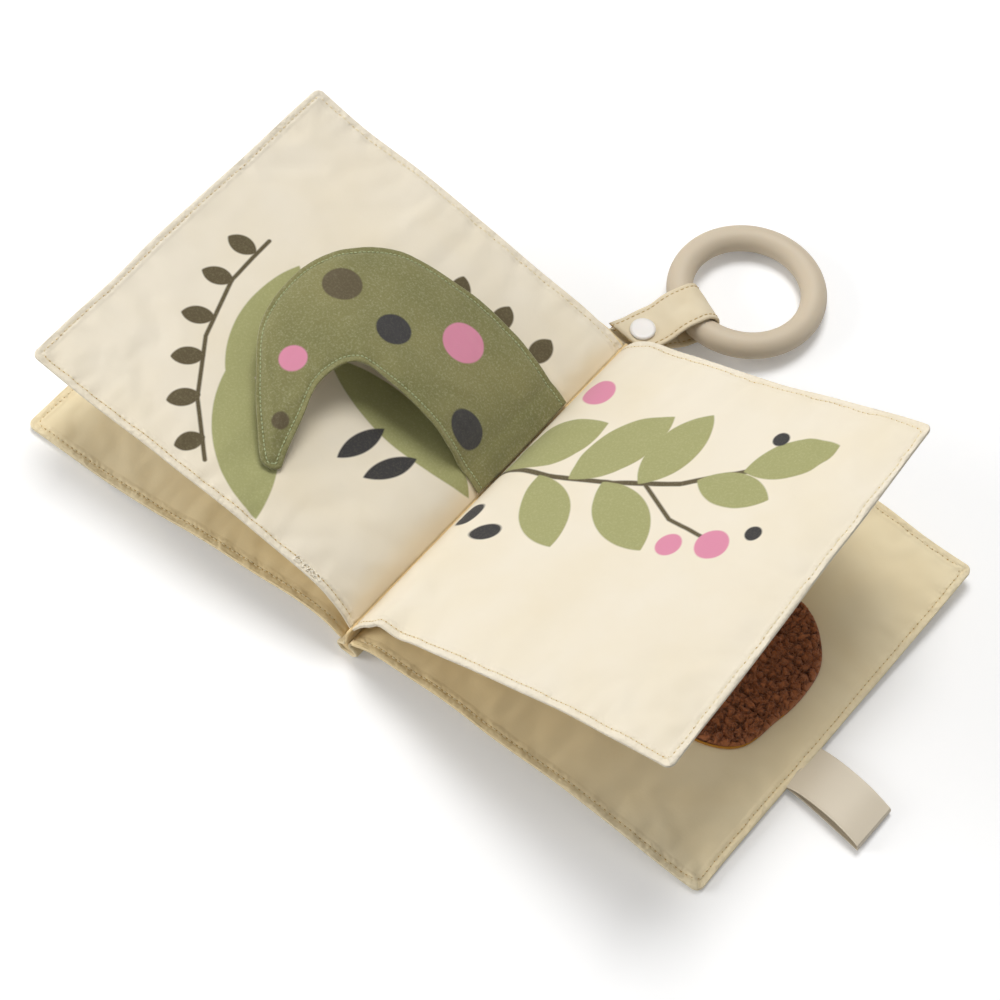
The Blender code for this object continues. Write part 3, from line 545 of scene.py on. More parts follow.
def joined(name, *pieces):
    work = bmesh.new()
    materials = []
    for piece in pieces:
        known = len(work.faces)
        work.from_mesh(piece.data)
        work.faces.ensure_lookup_table()
        for face in work.faces[known:]:
            face.material_index = len(materials)
        materials.append(next(material for material in piece.data.materials if material))
        bpy.data.objects.remove(piece)
    mesh = bpy.data.meshes.new(name)
    work.to_mesh(mesh)
    work.free()
    for material in materials:
        mesh.materials.append(material)
    mesh.shade_smooth()
    whole = bpy.data.objects.new(name, mesh)
    bpy.context.scene.collection.objects.link(whole)
    return whole


def leafSeam(name, face, start):
    leaf, inset, step = leaves[name], rim["stitchInset"], 0.0015
    outs = np.arange(start, leaf["reach"] - inset - step, step)
    alongs = np.arange(inset + step, leaf["length"] - inset - step, step)
    route = ([(out, inset) for out in outs] + [(leaf["reach"] - inset, along) for along in alongs]
             + [(out, leaf["length"] - inset) for out in outs[::-1]])
    out, along = np.array(route).T
    out = out + 0.0002 * softNoise(along, out, 0.018, 3)
    along = along + 0.0002 * softNoise(out, along, 0.018, 4)
    return leafFace(name, out, along, np.full(len(out), inset), face, 0.00010)


print("stitch tree ready")


# Flap: a padded curved leaf, sewn into the gutter and arched over the left page
flap = {"half": 0.0013, "edgeHalf": 0.0008, "rootNear": -0.0080, "reach": 0.0980, "drop": 0.1100, "nearArch": 0.0190,
        "farArch": 0.0160, "clearance": 0.0008, "crownOfPage": 0.0007, "split": 0.0120, "roll": 0.0007,
        "stitchInset": 0.0026, "dip": 0.00036, "crown": 0.0012, "tipRadius": 0.0031,
        "far": ((0, 0.52), (0.20, 0.532), (0.466, 0.514), (0.791, 0.428), (0.97, 0.203), (0.956, -0.088),
                (0.798, -0.295), (0.638, -0.447), (0.566, -0.505), (0.527, -0.519)),
        "near": ((0, 0), (0.075, -0.004), (0.158, -0.008), (0.357, -0.014), (0.538, -0.040), (0.586, -0.182),
                 (0.543, -0.315), (0.506, -0.422), (0.484, -0.468), (0.475, -0.492)),
        "rise": (0, 0.36, 0.70, 0.95, 1.0, 0.84, 0.50, 0.20, 0.04, 0)}
flapBase = leafHalf + flap["crownOfPage"] + flap["clearance"] + flap["half"]
flapAlong = leaves["leftPage"]["length"] / 2 + flap["rootNear"]
flapSteps = np.array((0, 0.0001, 0.0003, 0.0005, 0.0008, 0.0013, 0.0018, 0.0022, 0.0026, 0.0030, 0.0035, 0.0044, 0.0058))


def flapEdge(shares, arch):
    return smoothPath([(flap["reach"] * out, flapAlong + flap["drop"] * up, arch * rise)
                       for (out, up), rise in zip(shares, flap["rise"])])


flapNear, flapFar = flapEdge(flap["near"], flap["nearArch"]), flapEdge(flap["far"], flap["farArch"])
flapNearLength, flapFarLength = pathLength(flapNear), pathLength(flapFar)
flapLength = (flapNearLength + flapFarLength) / 2


def flapPlan(distance, across):
    share = np.maximum(distance, 0) / flapLength
    near, far = alongPath(flapNear, flapNearLength * share), alongPath(flapFar, flapFarLength * share)
    place = near + (far - near) * np.asarray(across)[..., None]
    return place[..., 0] + np.minimum(distance, 0), place[..., 1], place[..., 2], np.linalg.norm(far - near, axis=-1)


def flapFace(distance, across, inset, face, lift=0.0):
    out, along, rise, width = flapPlan(distance, across)
    down = np.clip(-distance / foldSpan, 0, 1)            # the root thins as it goes down into the gutter
    base = flapBase + rise - 0.0012 * np.clip(-distance / 0.004, 0, 1) - 0.0009 * np.clip(down * 1.4, 0, 1)
    low = np.clip(flap["roll"] - inset, 0, flap["roll"])
    height = flap["edgeHalf"] * np.sqrt(np.maximum(flap["roll"] ** 2 - low * low, 0)) / flap["roll"]
    height = height - flap["dip"] * np.exp(-((inset - flap["stitchInset"]) / 0.0007) ** 2) * (inset > flap["roll"] / 2)
    height = height + flap["crown"] * (1 - (1 - np.clip((inset - flap["stitchInset"]) / 0.013, 0, 1)) ** 2)
    pucker = 0.00028 * softNoise(distance, inset, 0.0050, 62) * np.exp(-np.maximum(inset - 0.003, 0) / 0.007)
    fine = 0.00014 * softNoise(out, along, 0.009, 63 if face > 0 else 64)
    fine = fine + 0.8 * creasesAt(2 if face > 0 else 5, distance / flapLength, inset / 0.07) * np.clip(distance / 0.02, 0, 1)
    height = np.where(inset < 1e-7, 0, np.maximum(height + pucker + fine, 0.00015)) * (1 - 0.5 * np.clip(down * 1.6, 0, 1))
    wave = 0.0006 * softNoise(out, along, 0.026, 61) * np.clip(inset / 0.01, 0, 1) * np.clip(distance / 0.03, 0, 1)
    return onLeaf(leaves["leftPage"], out, along, base + wave + face * (height + lift))


def flapPiece(name, distances, hidden=0.0):
    widths = flapPlan(distances, np.zeros_like(distances))[3]
    rows = []
    for width in widths:
        steps = flapSteps * min(1, 0.44 * width / flapSteps[-1])
        rows.append(np.concatenate((steps, np.linspace(steps[-1], width - steps[-1], 44)[1:-1], width - steps[::-1])))
    side, width = np.array(rows), widths[:, None]
    fromSide = np.minimum(side, width - side)
    fromEnd = np.broadcast_to(flapLength - distances[:, None], side.shape)
    inset = np.minimum(fromSide, fromEnd)
    cornerSide, cornerEnd = flap["tipRadius"] - fromSide, flap["tipRadius"] - fromEnd
    reach = np.maximum(cornerSide, cornerEnd) / np.maximum(np.hypot(cornerSide, cornerEnd), 1e-9)
    inCorner = (cornerSide > 0) & (cornerEnd > 0)
    newSide = np.where(inCorner, flap["tipRadius"] - cornerSide * reach, fromSide)
    newEnd = np.where(inCorner, flap["tipRadius"] - cornerEnd * reach, fromEnd)
    across = np.where(side < width / 2, newSide, width - newSide) / width
    distance = flapLength - newEnd
    lift = np.where((distance > hidden) & (hidden > 0) & (inset > 1e-7), -0.00012, 0.0)
    faces = [flapFace(distance, across, inset, face, lift) for face in (1, -1)]
    out, along = flapPlan(distance, across)[:2]
    return shellPiece(name, faces[0], faces[1], np.stack((out, along), axis=-1))


def flapRun(start, stop, inset):
    distances = np.arange(start, stop, 0.0012)
    shares = inset / flapPlan(distances, np.zeros_like(distances))[3]
    return distances, shares


flapLeaf = flapPiece("flapLeaf", np.concatenate((
    [flap["split"] - 0.0015], np.linspace(flap["split"] - 0.00145, flapLength - flapSteps[-1], 130),
    flapLength - flapSteps[::-1][1:])))
flapRoot = flapPiece("flapRoot", np.linspace(-0.88 * foldSpan, flap["split"] + 0.001, 36), hidden=flap["split"] - 0.0015)
print("flap made")


def flapSeams():
    inset, radius = flap["stitchInset"], 0.0004
    distances, shares = flapRun(flap["split"] - 0.001, flapLength - inset - radius, inset)
    endWidth = flapPlan(np.array([flapLength - inset]), np.zeros(1))[3][0]
    turn = np.linspace(inset / endWidth, 1 - inset / endWidth, 4)
    route = np.concatenate((np.stack((distances, shares), axis=-1), np.stack((np.full(4, flapLength - inset), turn), axis=-1),
                            np.stack((distances, 1 - shares), axis=-1)[::-1]))
    leafRuns = [flapFace(route[:, 0], route[:, 1], np.full(len(route), inset), face, 0.00012) for face in (1, -1)]
    distances, shares = flapRun(-0.8 * foldSpan, flap["split"] - 0.001, inset)
    rootRuns = [flapFace(distances, across, np.full(len(distances), inset), 1, 0.00012) for across in (shares, 1 - shares)]
    return leafRuns, rootRuns


# Sherpa patch: curly pile on an oval backing, sewn down round its edge
patch = {"centreOut": 0.1065 - rootOut, "along": 0.0860, "halfOut": 0.0510, "halfAlong": 0.0390, "lift": 0.0006,
         "rows": 215, "clump": 0.0038, "crease": 0.34, "depth": 0.55, "clumpHeight": 0.0028,
         "curls": 560000.0, "curlRadius": 0.00070, "curlThickness": 0.00018,
         "edgeRadius": 0.00055, "squareness": 2.6, "uneven": 0.008, "bulges": ((-5, 28, -0.048), (-50, 15, 0.045), (52, 12, 0.013)),
         "edgeInset": 0.984, "edgeShift": 0.0015}


def patchPlan(side, end):
    reach = np.maximum(np.abs(side), np.abs(end))
    power = patch["squareness"]
    shrink = reach / np.maximum((np.abs(side) ** power + np.abs(end) ** power) ** (1 / power), 1e-9)
    turn = np.arctan2(end, side)
    uneven = patch["uneven"] * (np.sin(7 * turn + 0.6) + 0.7 * np.sin(11 * turn + 2.1))
    for middle, spread, swell in patch["bulges"]:
        uneven = uneven + swell * np.exp(-((turn - radians(middle)) / radians(spread)) ** 2)
    shrink = shrink * (1 + uneven * np.clip(reach * 1.5, 0, 1))
    return patch["centreOut"] + patch["halfOut"] * side * shrink, patch["along"] + patch["halfAlong"] * end * shrink


def patchFace(out, along, height):
    inset = np.minimum(leaves["backCover"]["reach"] - out, np.minimum(along, leaves["backCover"]["length"] - along))
    return leafFace("backCover", out, along, inset, 1, height)


def clumps(out, along):
    size, first, second = patch["clump"], np.full(np.shape(out), 9.0), np.full(np.shape(out), 9.0)
    out, along = out + 0.0014 * softNoise(out, along, 0.0023, 87), along + 0.0014 * softNoise(out, along, 0.0023, 88)
    chance = np.random.default_rng(86).uniform(0.12, 0.88, (64, 64, 3))
    column, row = np.floor(out / size).astype(int), np.floor(along / size).astype(int)
    for left in (-1, 0, 1):
        for up in (-1, 0, 1):
            spot = chance[(column + left) % 64, (row + up) % 64]
            wide = np.hypot(out / size - (column + left) - spot[..., 0], along / size - (row + up) - spot[..., 1])
            wide = wide / (0.8 + 0.3 * spot[..., 2])
            second = np.minimum(second, np.maximum(first, wide))
            first = np.minimum(first, wide)
    crease = np.clip((second - first) / patch["crease"], 0, 1) ** 0.7
    tangle = 0.5 + 0.5 * softNoise(out, along, 0.0015, 89)
    return np.clip((1 - patch["depth"] * (1 - crease)) * (1 - 0.35 * np.clip(first, 0, 1) ** 2) - 0.3 * tangle + 0.1, 0, 1)


def patchPiece():
    share = np.linspace(-1, 1, patch["rows"])
    side, end = np.meshgrid(share, share)
    reach = np.maximum(np.abs(side), np.abs(end))
    out, along = patchPlan(side, end)
    edge = (1 - reach) * min(patch["halfOut"], patch["halfAlong"])
    dome = np.sqrt(np.maximum(1 - (np.clip(0.0030 - edge, 0, 0.0030) / 0.0030) ** 2, 0))
    lumps = clumps(out, along)
    height = dome * (0.0002 + patch["clumpHeight"] * lumps + 0.0005 * softNoise(out, along, 0.0010, 84))
    cut = np.stack((out, along), axis=-1)
    piece = shellPiece("sherpaPatch", patchFace(out, along, patch["lift"] + np.maximum(height, 0.00005)),
                       patchFace(out, along, patch["lift"] - 0.0004), cut)
    layer = piece.data.attributes.new("lump", "FLOAT", "POINT")
    layer.data.foreach_set("value", np.tile(lumps.ravel(), 2).astype(np.float32)[:len(piece.data.vertices)])
    return piece


def curlScatter(tree, given):
    points = addNode(tree, "GeometryNodeDistributePointsOnFaces",
                     {"Mesh": given["Geometry"], "Density": given["Density"], "Seed": 4})
    arc = addNode(tree, "GeometryNodeCurveArc", {"Resolution": 6, "Radius": given["Radius"], "Sweep Angle": radians(250)})
    thread = addNode(tree, "GeometryNodeCurvePrimitiveCircle", {"Resolution": 3, "Radius": given["Thickness"]})
    curl = addNode(tree, "GeometryNodeCurveToMesh", {"Curve": arc, "Profile Curve": thread, "Fill Caps": True})
    turn = addNode(tree, "FunctionNodeRandomValue", {"Min": (0.0, 0.0, 0.0), "Max": (2 * pi, 2 * pi, 2 * pi), "Seed": 6},
                   data_type="FLOAT_VECTOR")
    size = addNode(tree, "FunctionNodeRandomValue", {"Min": (0.75, 0.75, 0.8), "Max": (1.25, 1.25, 1.6), "Seed": 7},
                   data_type="FLOAT_VECTOR")
    return points, curl, turn, size


curls = pieceTree("curly pile", ("Density", "Radius", "Thickness"), curlScatter)


def growCurls(material):
    share = np.linspace(-0.985, 0.985, 150)
    side, end = np.meshgrid(share, share)
    reach = np.maximum(np.abs(side), np.abs(end))
    out, along = patchPlan(side, end)
    lift = patch["lift"] + 0.0006 + patch["clumpHeight"] * clumps(out, along) * (reach < 0.96)
    ground = linkMesh("sherpaCurls", patchFace(out, along, lift).reshape(-1, 3), gridFaces(*out.shape))
    layer = ground.data.attributes.new("lump", "FLOAT", "POINT")
    layer.data.foreach_set("value", clumps(out, along).ravel().astype(np.float32))
    grown = runTree(ground, curls, {"Density": patch["curls"], "Radius": patch["curlRadius"],
                                         "Thickness": patch["curlThickness"], "Material": material})
    return grown


sherpaPatch = patchPiece()
print("patch made")

# Care label: satin ribbon folded at the tip
label = {"width": 0.0220, "reach": 0.0360, "ribbon": 0.0004, "loop": 0.0026, "along": -0.0230, "tipHeight": 0.0019,
         "bulge": 0.0024, "swing": 0.0050}


def ribbonPiece(name, outline, acrossSteps, place, half, uvAcross):
    tangents = unit(np.gradient(outline, axis=0))
    normals = np.stack((-tangents[:, 1], tangents[:, 0]), axis=-1)
    arcs = np.concatenate(([0], np.cumsum(np.linalg.norm(np.diff(outline, axis=0), axis=1))))
    faces = []
    for face in (1, -1):
        faces.append(np.array([[place(x + face * n[0] * h, side, z + face * n[1] * h)
                                for (x, z), n in zip(outline, normals)]
                               for side, h in zip(acrossSteps, half)]))
    cut = np.stack(np.meshgrid(arcs, np.asarray(acrossSteps) * uvAcross), axis=-1)
    return shellPiece(name, faces[0], faces[1], cut)


def labelPiece():
    leaf = leaves["backCover"]
    root = middleOf(leaf, leaf["reach"], leaf["length"] / 2 + label["along"])
    half = (label["loop"] - label["ribbon"]) / 2
    tip = (label["reach"] - half, label["tipHeight"] - root[2])
    points = [(-0.0020, 0.00045), (0.004, 0.0016), (tip[0] * 0.36, tip[1] / 2 + label["bulge"]),
              (tip[0] * 0.72, tip[1] + half + label["bulge"] * 0.62)]
    points += [(tip[0] + half * cos(pi / 2 - pi * s / 8), tip[1] + half * sin(pi / 2 - pi * s / 8)) for s in range(9)]
    points += [(tip[0] * 0.6, tip[1] - half * 0.9), (0.006, -root[2] * 0.35), (-0.0020, -0.00035)]
    outline = smoothPath(points, 5)
    slide = leaf["skew"] / leaf["reach"]
    steps = np.concatenate(((-1, -0.995, -0.985, -0.965), np.linspace(-0.94, 0.94, 19), (0.965, 0.985, 0.995, 1)))
    thick = label["ribbon"] / 2 * np.array([0.05, 0.7, 1, 1.25] + [1] * 19 + [1.25, 1, 0.7, 0.05])

    def place(x, side, z):
        share = max(x, 0) / label["reach"]
        upper = min(max((root[2] + z - 0.0016) / 0.0016, 0), 1)
        curl = share * 0.0004 * (1 + sin(x / 0.010) * side) + 0.0022 * upper * share * (1.25 - share) * (1 - side)
        swing = label["swing"] * share ** 1.5
        return (root[0] + seamGap + x, root[1] + side * label["width"] / 2 + slide * x - swing, root[2] + z + curl)

    label["cut"] = pathLength(outline)
    return ribbonPiece("careLabel", outline, steps, place, thick, label["width"] / 2)


careLabel = labelPiece()

# Ring strap and its snap tongue
strap = {"width": 0.0200, "thickness": 0.0016, "turn": radians(23), "rootSide": -0.0034, "rootHeight": 0.0084,
         "snapHeight": 0.0076, "levelStart": 0.0050, "levelEnd": 0.0150, "tongueHeight": 0.0124, "tongueEnd": 0.0015,
         "legRise": 0.8, "crest": 0.6, "sag": 0.4, "split": 0.0200}
ring = {"radius": 0.0285, "tube": 0.0056, "tilt": radians(4.2), "fromRoot": 0.0310, "slack": 0.0020,
        "clearance": 0.0006}
snap = {"fromRoot": 0.0090, "capRadius": 0.0055, "capHeight": 0.0018, "rimHeight": 0.0006}
strapRoot = np.array((strap["rootSide"], 0.0905 + seamGap + strap["thickness"] / 2, 0.0))
strapForward = np.array((sin(strap["turn"]), cos(strap["turn"]), 0.0))
strapSideways = np.array((cos(strap["turn"]), -sin(strap["turn"]), 0.0))
ringLift = ring["tube"] + 2 * ring["radius"] * sin(ring["tilt"])
strapHalf = strap["thickness"] / 2
bendRadius = ring["tube"] + ring["clearance"] + strapHalf
bendFromRoot = ring["fromRoot"] + ring["slack"]


def onStrap(forward, sideways, height):
    return strapRoot + strapForward * forward + strapSideways * sideways + np.array((0, 0, height))


def strapPlace(forward, side, height):
    shift = 0.0
    if forward < strap["levelStart"]:
        shift = (1 - forward / strap["levelStart"]) * side * strap["width"] / 2 * tan(strap["turn"])
    return onStrap(forward + shift, side * strap["width"] / 2, height)


def strapPieces():
    leg = [(-0.0005, strap["rootHeight"] + 0.0002), (0, strap["rootHeight"]), (strap["levelStart"], strap["snapHeight"]),
           (strap["levelEnd"], strap["snapHeight"]),
           (ring["fromRoot"] * strap["legRise"], ringLift - bendRadius + strapHalf), (bendFromRoot, ringLift - bendRadius)]
    path = [tuple(p) for p in smoothPath(leg, 8)]
    path += [(bendFromRoot + bendRadius * cos(t), ringLift + bendRadius * sin(t)) for t in np.linspace(-pi / 2, pi / 2, 21)[1:]]
    tongue = [(bendFromRoot - 0.0006, ringLift + bendRadius),
              (ring["fromRoot"] - ring["tube"] * strap["crest"], ringLift + bendRadius - strapHalf * strap["sag"]),
              ((strap["levelEnd"] + ring["fromRoot"]) / 2, (strap["tongueHeight"] + ringLift + bendRadius) / 2 + strapHalf),
              (strap["levelEnd"], strap["tongueHeight"]), (strap["tongueEnd"], strap["tongueHeight"])]
    path = np.array(path + [tuple(p) for p in smoothPath(tongue, 8)])
    parted = next(i for i, (x, z) in enumerate(path) if x > strap["split"])
    inset = np.array((0, 0.0001, 0.0003, 0.0006, 0.0010, 0.0015, 0.0019, 0.0023, 0.0028, 0.0036)) / (strap["width"] / 2)
    steps = np.concatenate((-1 + inset, np.linspace(-1 + inset[-1], 1 - inset[-1], 19)[1:-1], 1 - inset[::-1]))
    away = (1 - np.abs(steps)) * strap["width"] / 2
    low = np.clip(0.0008 - away, 0, 0.0008)
    thick = strapHalf * np.maximum(np.sqrt(np.maximum(1 - (low / 0.0008) ** 2, 0)), 0.03)
    thick = thick - 0.00022 * np.exp(-((away - 0.0020) / 0.0005) ** 2) * (away > 0.0008)

    strap["legCut"], strap["loopCut"] = pathLength(path[:parted + 3]), pathLength(path[parted:])
    legPiece = ribbonPiece("strapLeg", path[:parted + 3], steps, wrinkled, thick, strap["width"] / 2)
    loopPiece = ribbonPiece("strapLoop", path[parted:], steps, wrinkled, thick * 0.97, strap["width"] / 2)
    seams = []
    for run in (path[:parted + 1], path[parted:]):
        tangents = unit(np.gradient(run, axis=0))
        normals = np.stack((-tangents[:, 1], tangents[:, 0]), axis=-1)
        seams.append([[wrinkled(x + face * n[0] * (strapHalf - 0.00012), side, z + face * n[1] * (strapHalf - 0.00012))
                       for (x, z), n in zip(run, normals)] for side in (-0.8, 0.8) for face in (1, -1)])
    return legPiece, loopPiece, seams


def wrinkled(forward, side, height):
    spot = strapPlace(forward, side, height)
    dent = 0.00050 * softNoise(np.array(forward), np.array(side * 0.01 + height), 0.0070, 71)
    dent += 0.00018 * softNoise(np.array(forward), np.array(side * 0.01 + height), 0.0030, 72)
    free = min(max(forward / 0.004, 0), 1)
    near = 1 - 0.8 * np.exp(-((forward - snap["fromRoot"]) ** 2 + (side * 0.01) ** 2) / 0.006 ** 2)
    return spot + np.array((0, 0, float(dent) * free * near))


strapLeg, strapLoop, strapSeams = strapPieces()


def torusPiece(name, centre, axis, major, minor, around=176, sides=44):
    axis = unit(np.asarray(axis, float))
    first = unit(np.cross(axis, (0.3, 1.0, 0.1)))
    second = np.cross(axis, first)
    turns, rounds = np.arange(around) * 2 * pi / around, np.arange(sides) * 2 * pi / sides
    outward = np.cos(turns)[:, None] * first + np.sin(turns)[:, None] * second
    places = (centre + outward[:, None, :] * (major + minor * np.cos(rounds))[None, :, None]
              + axis * (minor * np.sin(rounds))[None, :, None])
    vertices = places.reshape(-1, 3)
    faces = [(i * sides + j, ((i + 1) % around) * sides + j, ((i + 1) % around) * sides + (j + 1) % sides,
              i * sides + (j + 1) % sides) for i in range(around) for j in range(sides)]
    piece = linkMesh(name, vertices, faces, np.zeros((len(vertices), 2)))
    outwards(piece)
    return piece


ringMiddle = onStrap(ring["fromRoot"], 0, ringLift)
ringCentre = (ringMiddle + strapForward * ring["radius"] * cos(ring["tilt"])
              - np.array((0, 0, ring["radius"] * sin(ring["tilt"]))))
ringAxis = strapForward * sin(ring["tilt"]) + np.array((0, 0, cos(ring["tilt"])))
teethingRing = torusPiece("teethingRing", ringCentre, ringAxis, ring["radius"], ring["tube"])


def turnedPiece(name, profile, base, steps=64):
    vertices, faces = [], []
    for radius, height in profile:
        turns = np.arange(steps) * 2 * pi / steps
        vertices += [(base[0] + radius * cos(t), base[1] + radius * sin(t), base[2] + height) for t in turns]
    faces = gridFaces(len(profile), steps, wrap=True)
    faces += [tuple(range(steps)), tuple(range(len(vertices) - steps, len(vertices)))[::-1]]
    piece = linkMesh(name, vertices, faces, np.zeros((len(vertices), 2)))
    outwards(piece)
    return piece


def snapProfile():
    return [(0.0004, 0.00128), (0.0018, 0.00130), (0.0032, 0.00134), (0.0042, 0.00136), (0.0047, 0.00130),
            (0.0051, 0.00112), (0.0054, 0.00080), (0.0055, 0.00050), (0.0054, 0.00022), (0.0050, 0.0)]


capBase = onStrap(snap["fromRoot"], 0, strap["tongueHeight"] + strapHalf - 0.00005)
snapCap = turnedPiece("snapCap", snapProfile(), capBase)
backBase = onStrap(snap["fromRoot"], 0, strap["snapHeight"] - strapHalf + 0.00005)
snapBackCap = turnedPiece("snapBackCap", [(r, -h) for r, h in snapProfile()], backBase)
print("strap, ring and snap made")

# Spine: the soft pleat under the gutter, and the thread that gathers the leaves into it
spine = {"width": 0.0108, "foot": 0.0060, "belly": 0.0034, "lipTop": 0.0079, "lipDrop": 0.0022, "sheet": 0.0012,
         "length": 0.1810, "seamTop": 0.0149}


def spinePiece():
    half = spine["sheet"] / 2
    lipOut = 0.0005 + seamGap + half
    side = [(lipOut, spine["lipTop"]), (lipOut, spine["lipTop"] - spine["lipDrop"]),
            (spine["width"] / 2 - half, spine["belly"]), (spine["foot"] / 2, half)]
    right = smoothPath(side, 7)
    path = np.concatenate((right * (-1, 1), [(0, half)], right[::-1]))
    spine["cut"] = pathLength(path)
    tangents = unit(np.gradient(path, axis=0))
    normals = np.stack((-tangents[:, 1], tangents[:, 0]), axis=-1)
    alongs = np.concatenate((-spine["length"] / 2 + np.array((0, 0.0002, 0.0006, 0.0012)),
                             np.linspace(-spine["length"] / 2 + 0.003, spine["length"] / 2 - 0.003, 70),
                             spine["length"] / 2 - np.array((0.0012, 0.0006, 0.0002, 0))))
    fromEnd = np.minimum(alongs + spine["length"] / 2, spine["length"] / 2 - alongs)
    thick = half * np.clip(fromEnd / 0.0006, 0, 1) ** 0.5
    faces = []
    for face in (1, -1):
        rows = []
        for along, h in zip(alongs, thick):
            ripple = 0.00035 * softNoise(np.arange(len(path)) * 0.0012, np.full(len(path), along), 0.012, 91)
            place = path + normals * (ripple[:, None] * 0.6 + face * np.maximum(h, 0.00008))
            rows.append(np.stack((place[:, 0], np.full(len(path), along), np.maximum(place[:, 1], 0.00001)), axis=-1))
        faces.append(np.array(rows))
    cut = np.stack(np.meshgrid(np.arange(len(path)) * 0.001, alongs), axis=-1)
    return shellPiece("spinePleat", faces[0], faces[1], cut)


spinePleat = spinePiece()


def gutterPiece():
    outline = [(0.0, spine["seamTop"]), (0.0007, spine["seamTop"] - 0.0005), (0.0006, 0.0115), (0.0006, 0.0078),
               (0.0012, 0.0062), (0.0029, 0.0050), (0.0034, 0.0036), (0.0027, 0.0022), (0.0012, 0.0016), (0.0, 0.0015)]
    right = smoothPath(outline, 4)
    section = np.concatenate((right, right[-2:0:-1] * (-1, 1)))
    middle = section.mean(axis=0)
    ends = np.array((0, 0.00015, 0.0005, 0.0010, 0.0018))
    alongs = np.concatenate((ends, np.linspace(0.0035, spine["length"] - 0.0035, 60), spine["length"] - ends[::-1]))
    rings = []
    for along in alongs:
        share = min(along, spine["length"] - along, ends[-1]) / ends[-1]
        swell = 0.35 + 0.65 * (1 - (1 - share) ** 2) ** 0.5
        twist = 1 + 0.10 * softNoise(np.array(along), np.array(0.0), 0.006, 95)
        loop = middle + (section - middle) * (swell * twist, swell)
        rings.append(np.stack((loop[:, 0], np.full(len(loop), along - spine["length"] / 2), loop[:, 1]), axis=-1))
    count = len(section)
    vertices = np.concatenate(rings)
    faces = gridFaces(len(rings), count, wrap=True) + [tuple(range(count)), tuple(range(len(vertices) - count, len(vertices)))]
    piece = linkMesh("gutterBinding", vertices, faces, np.stack((vertices[:, 1], vertices[:, 2]), axis=-1))
    outwards(piece)
    return piece


gutterBinding = gutterPiece()


# Materials
# the gutter tone is painted warm crease shade, used on the binding and where the pages fold into the gutter
colours = {"cream": "EFE5D1", "creamDeep": "E6D5AE", "cover": "F5E6C2", "coverMottleAndPaintedShade": "EED39A", "gutter": "E6CB98",
           "creamThread": "EADCB8", "needleShade": "C6A566", "tackThread": "F6EEDC",
           "strap": "EBDEC2", "strapDeep": "D8C298", "strapThread": "C8AC76",
           "olive": "8B8657", "oliveDeep": "747448", "oliveFleck": "B4B38E", "oliveThread": "AEB68C",
           "paleOlive": "A5A470", "paleFleck": "BDBB8C", "darkOlive": "61563F", "charcoal": "403E3E", "pink": "DE8FA8",
           "ring": "D3C4AC", "snap": "EFEAE4", "label": "D8CCB6",
           "fleece": "B27048", "fleeceShade": "47250F", "fleeceEdge": "C08530"}
# The real threads lie 0.25 mm apart; they are drawn at 0.42 mm so that the weave shows
weave = {"pitch": 0.00042, "height": 0.00004, "depth": 0.8, "pucker": 0.0011, "rimStart": 0.0030, "rimStop": 0.0056}
# Marks to the metre: tone clouds 38 mm, gathers 2.4 mm, slubs 1.1 mm, flecks 0.9 mm and pile fibres 0.7 mm across,
# then the fine grain of thread and ribbon (0.4 to 0.6 mm), snap (1.1 mm) and ring (1.4 mm), coarser than real to show
marks = {"cloud": 26.0, "gather": 420.0, "slub": 900.0, "fleck": 1100.0, "fibre": 1500.0,
         "thread": 2500.0, "ribbon": 1800.0, "snap": 900.0, "ring": 700.0}
# painted shade: the covers take a deeper, warmer tone near the spine that fades toward the outer edge, for the shade
# under the raised pages; the same deeper tone also serves as random mottle
paintedCoverShade = ("coverMottleAndPaintedShade", 0.040, 0.150, 0.60)             # tone, where it starts and ends, its most
# painted shade: the pages take the deeper ochre gutter tone where they dive into the gutter, for the warm shade in the
# crease
paintedGutterShade = ("gutter", -0.013, -0.002, 0.15)
inkFlecks = {"darkOlive": 0.15, "paleOlive": 0.6, "pink": 0.06, "charcoal": 0.08}
inkBlur = 0.00035


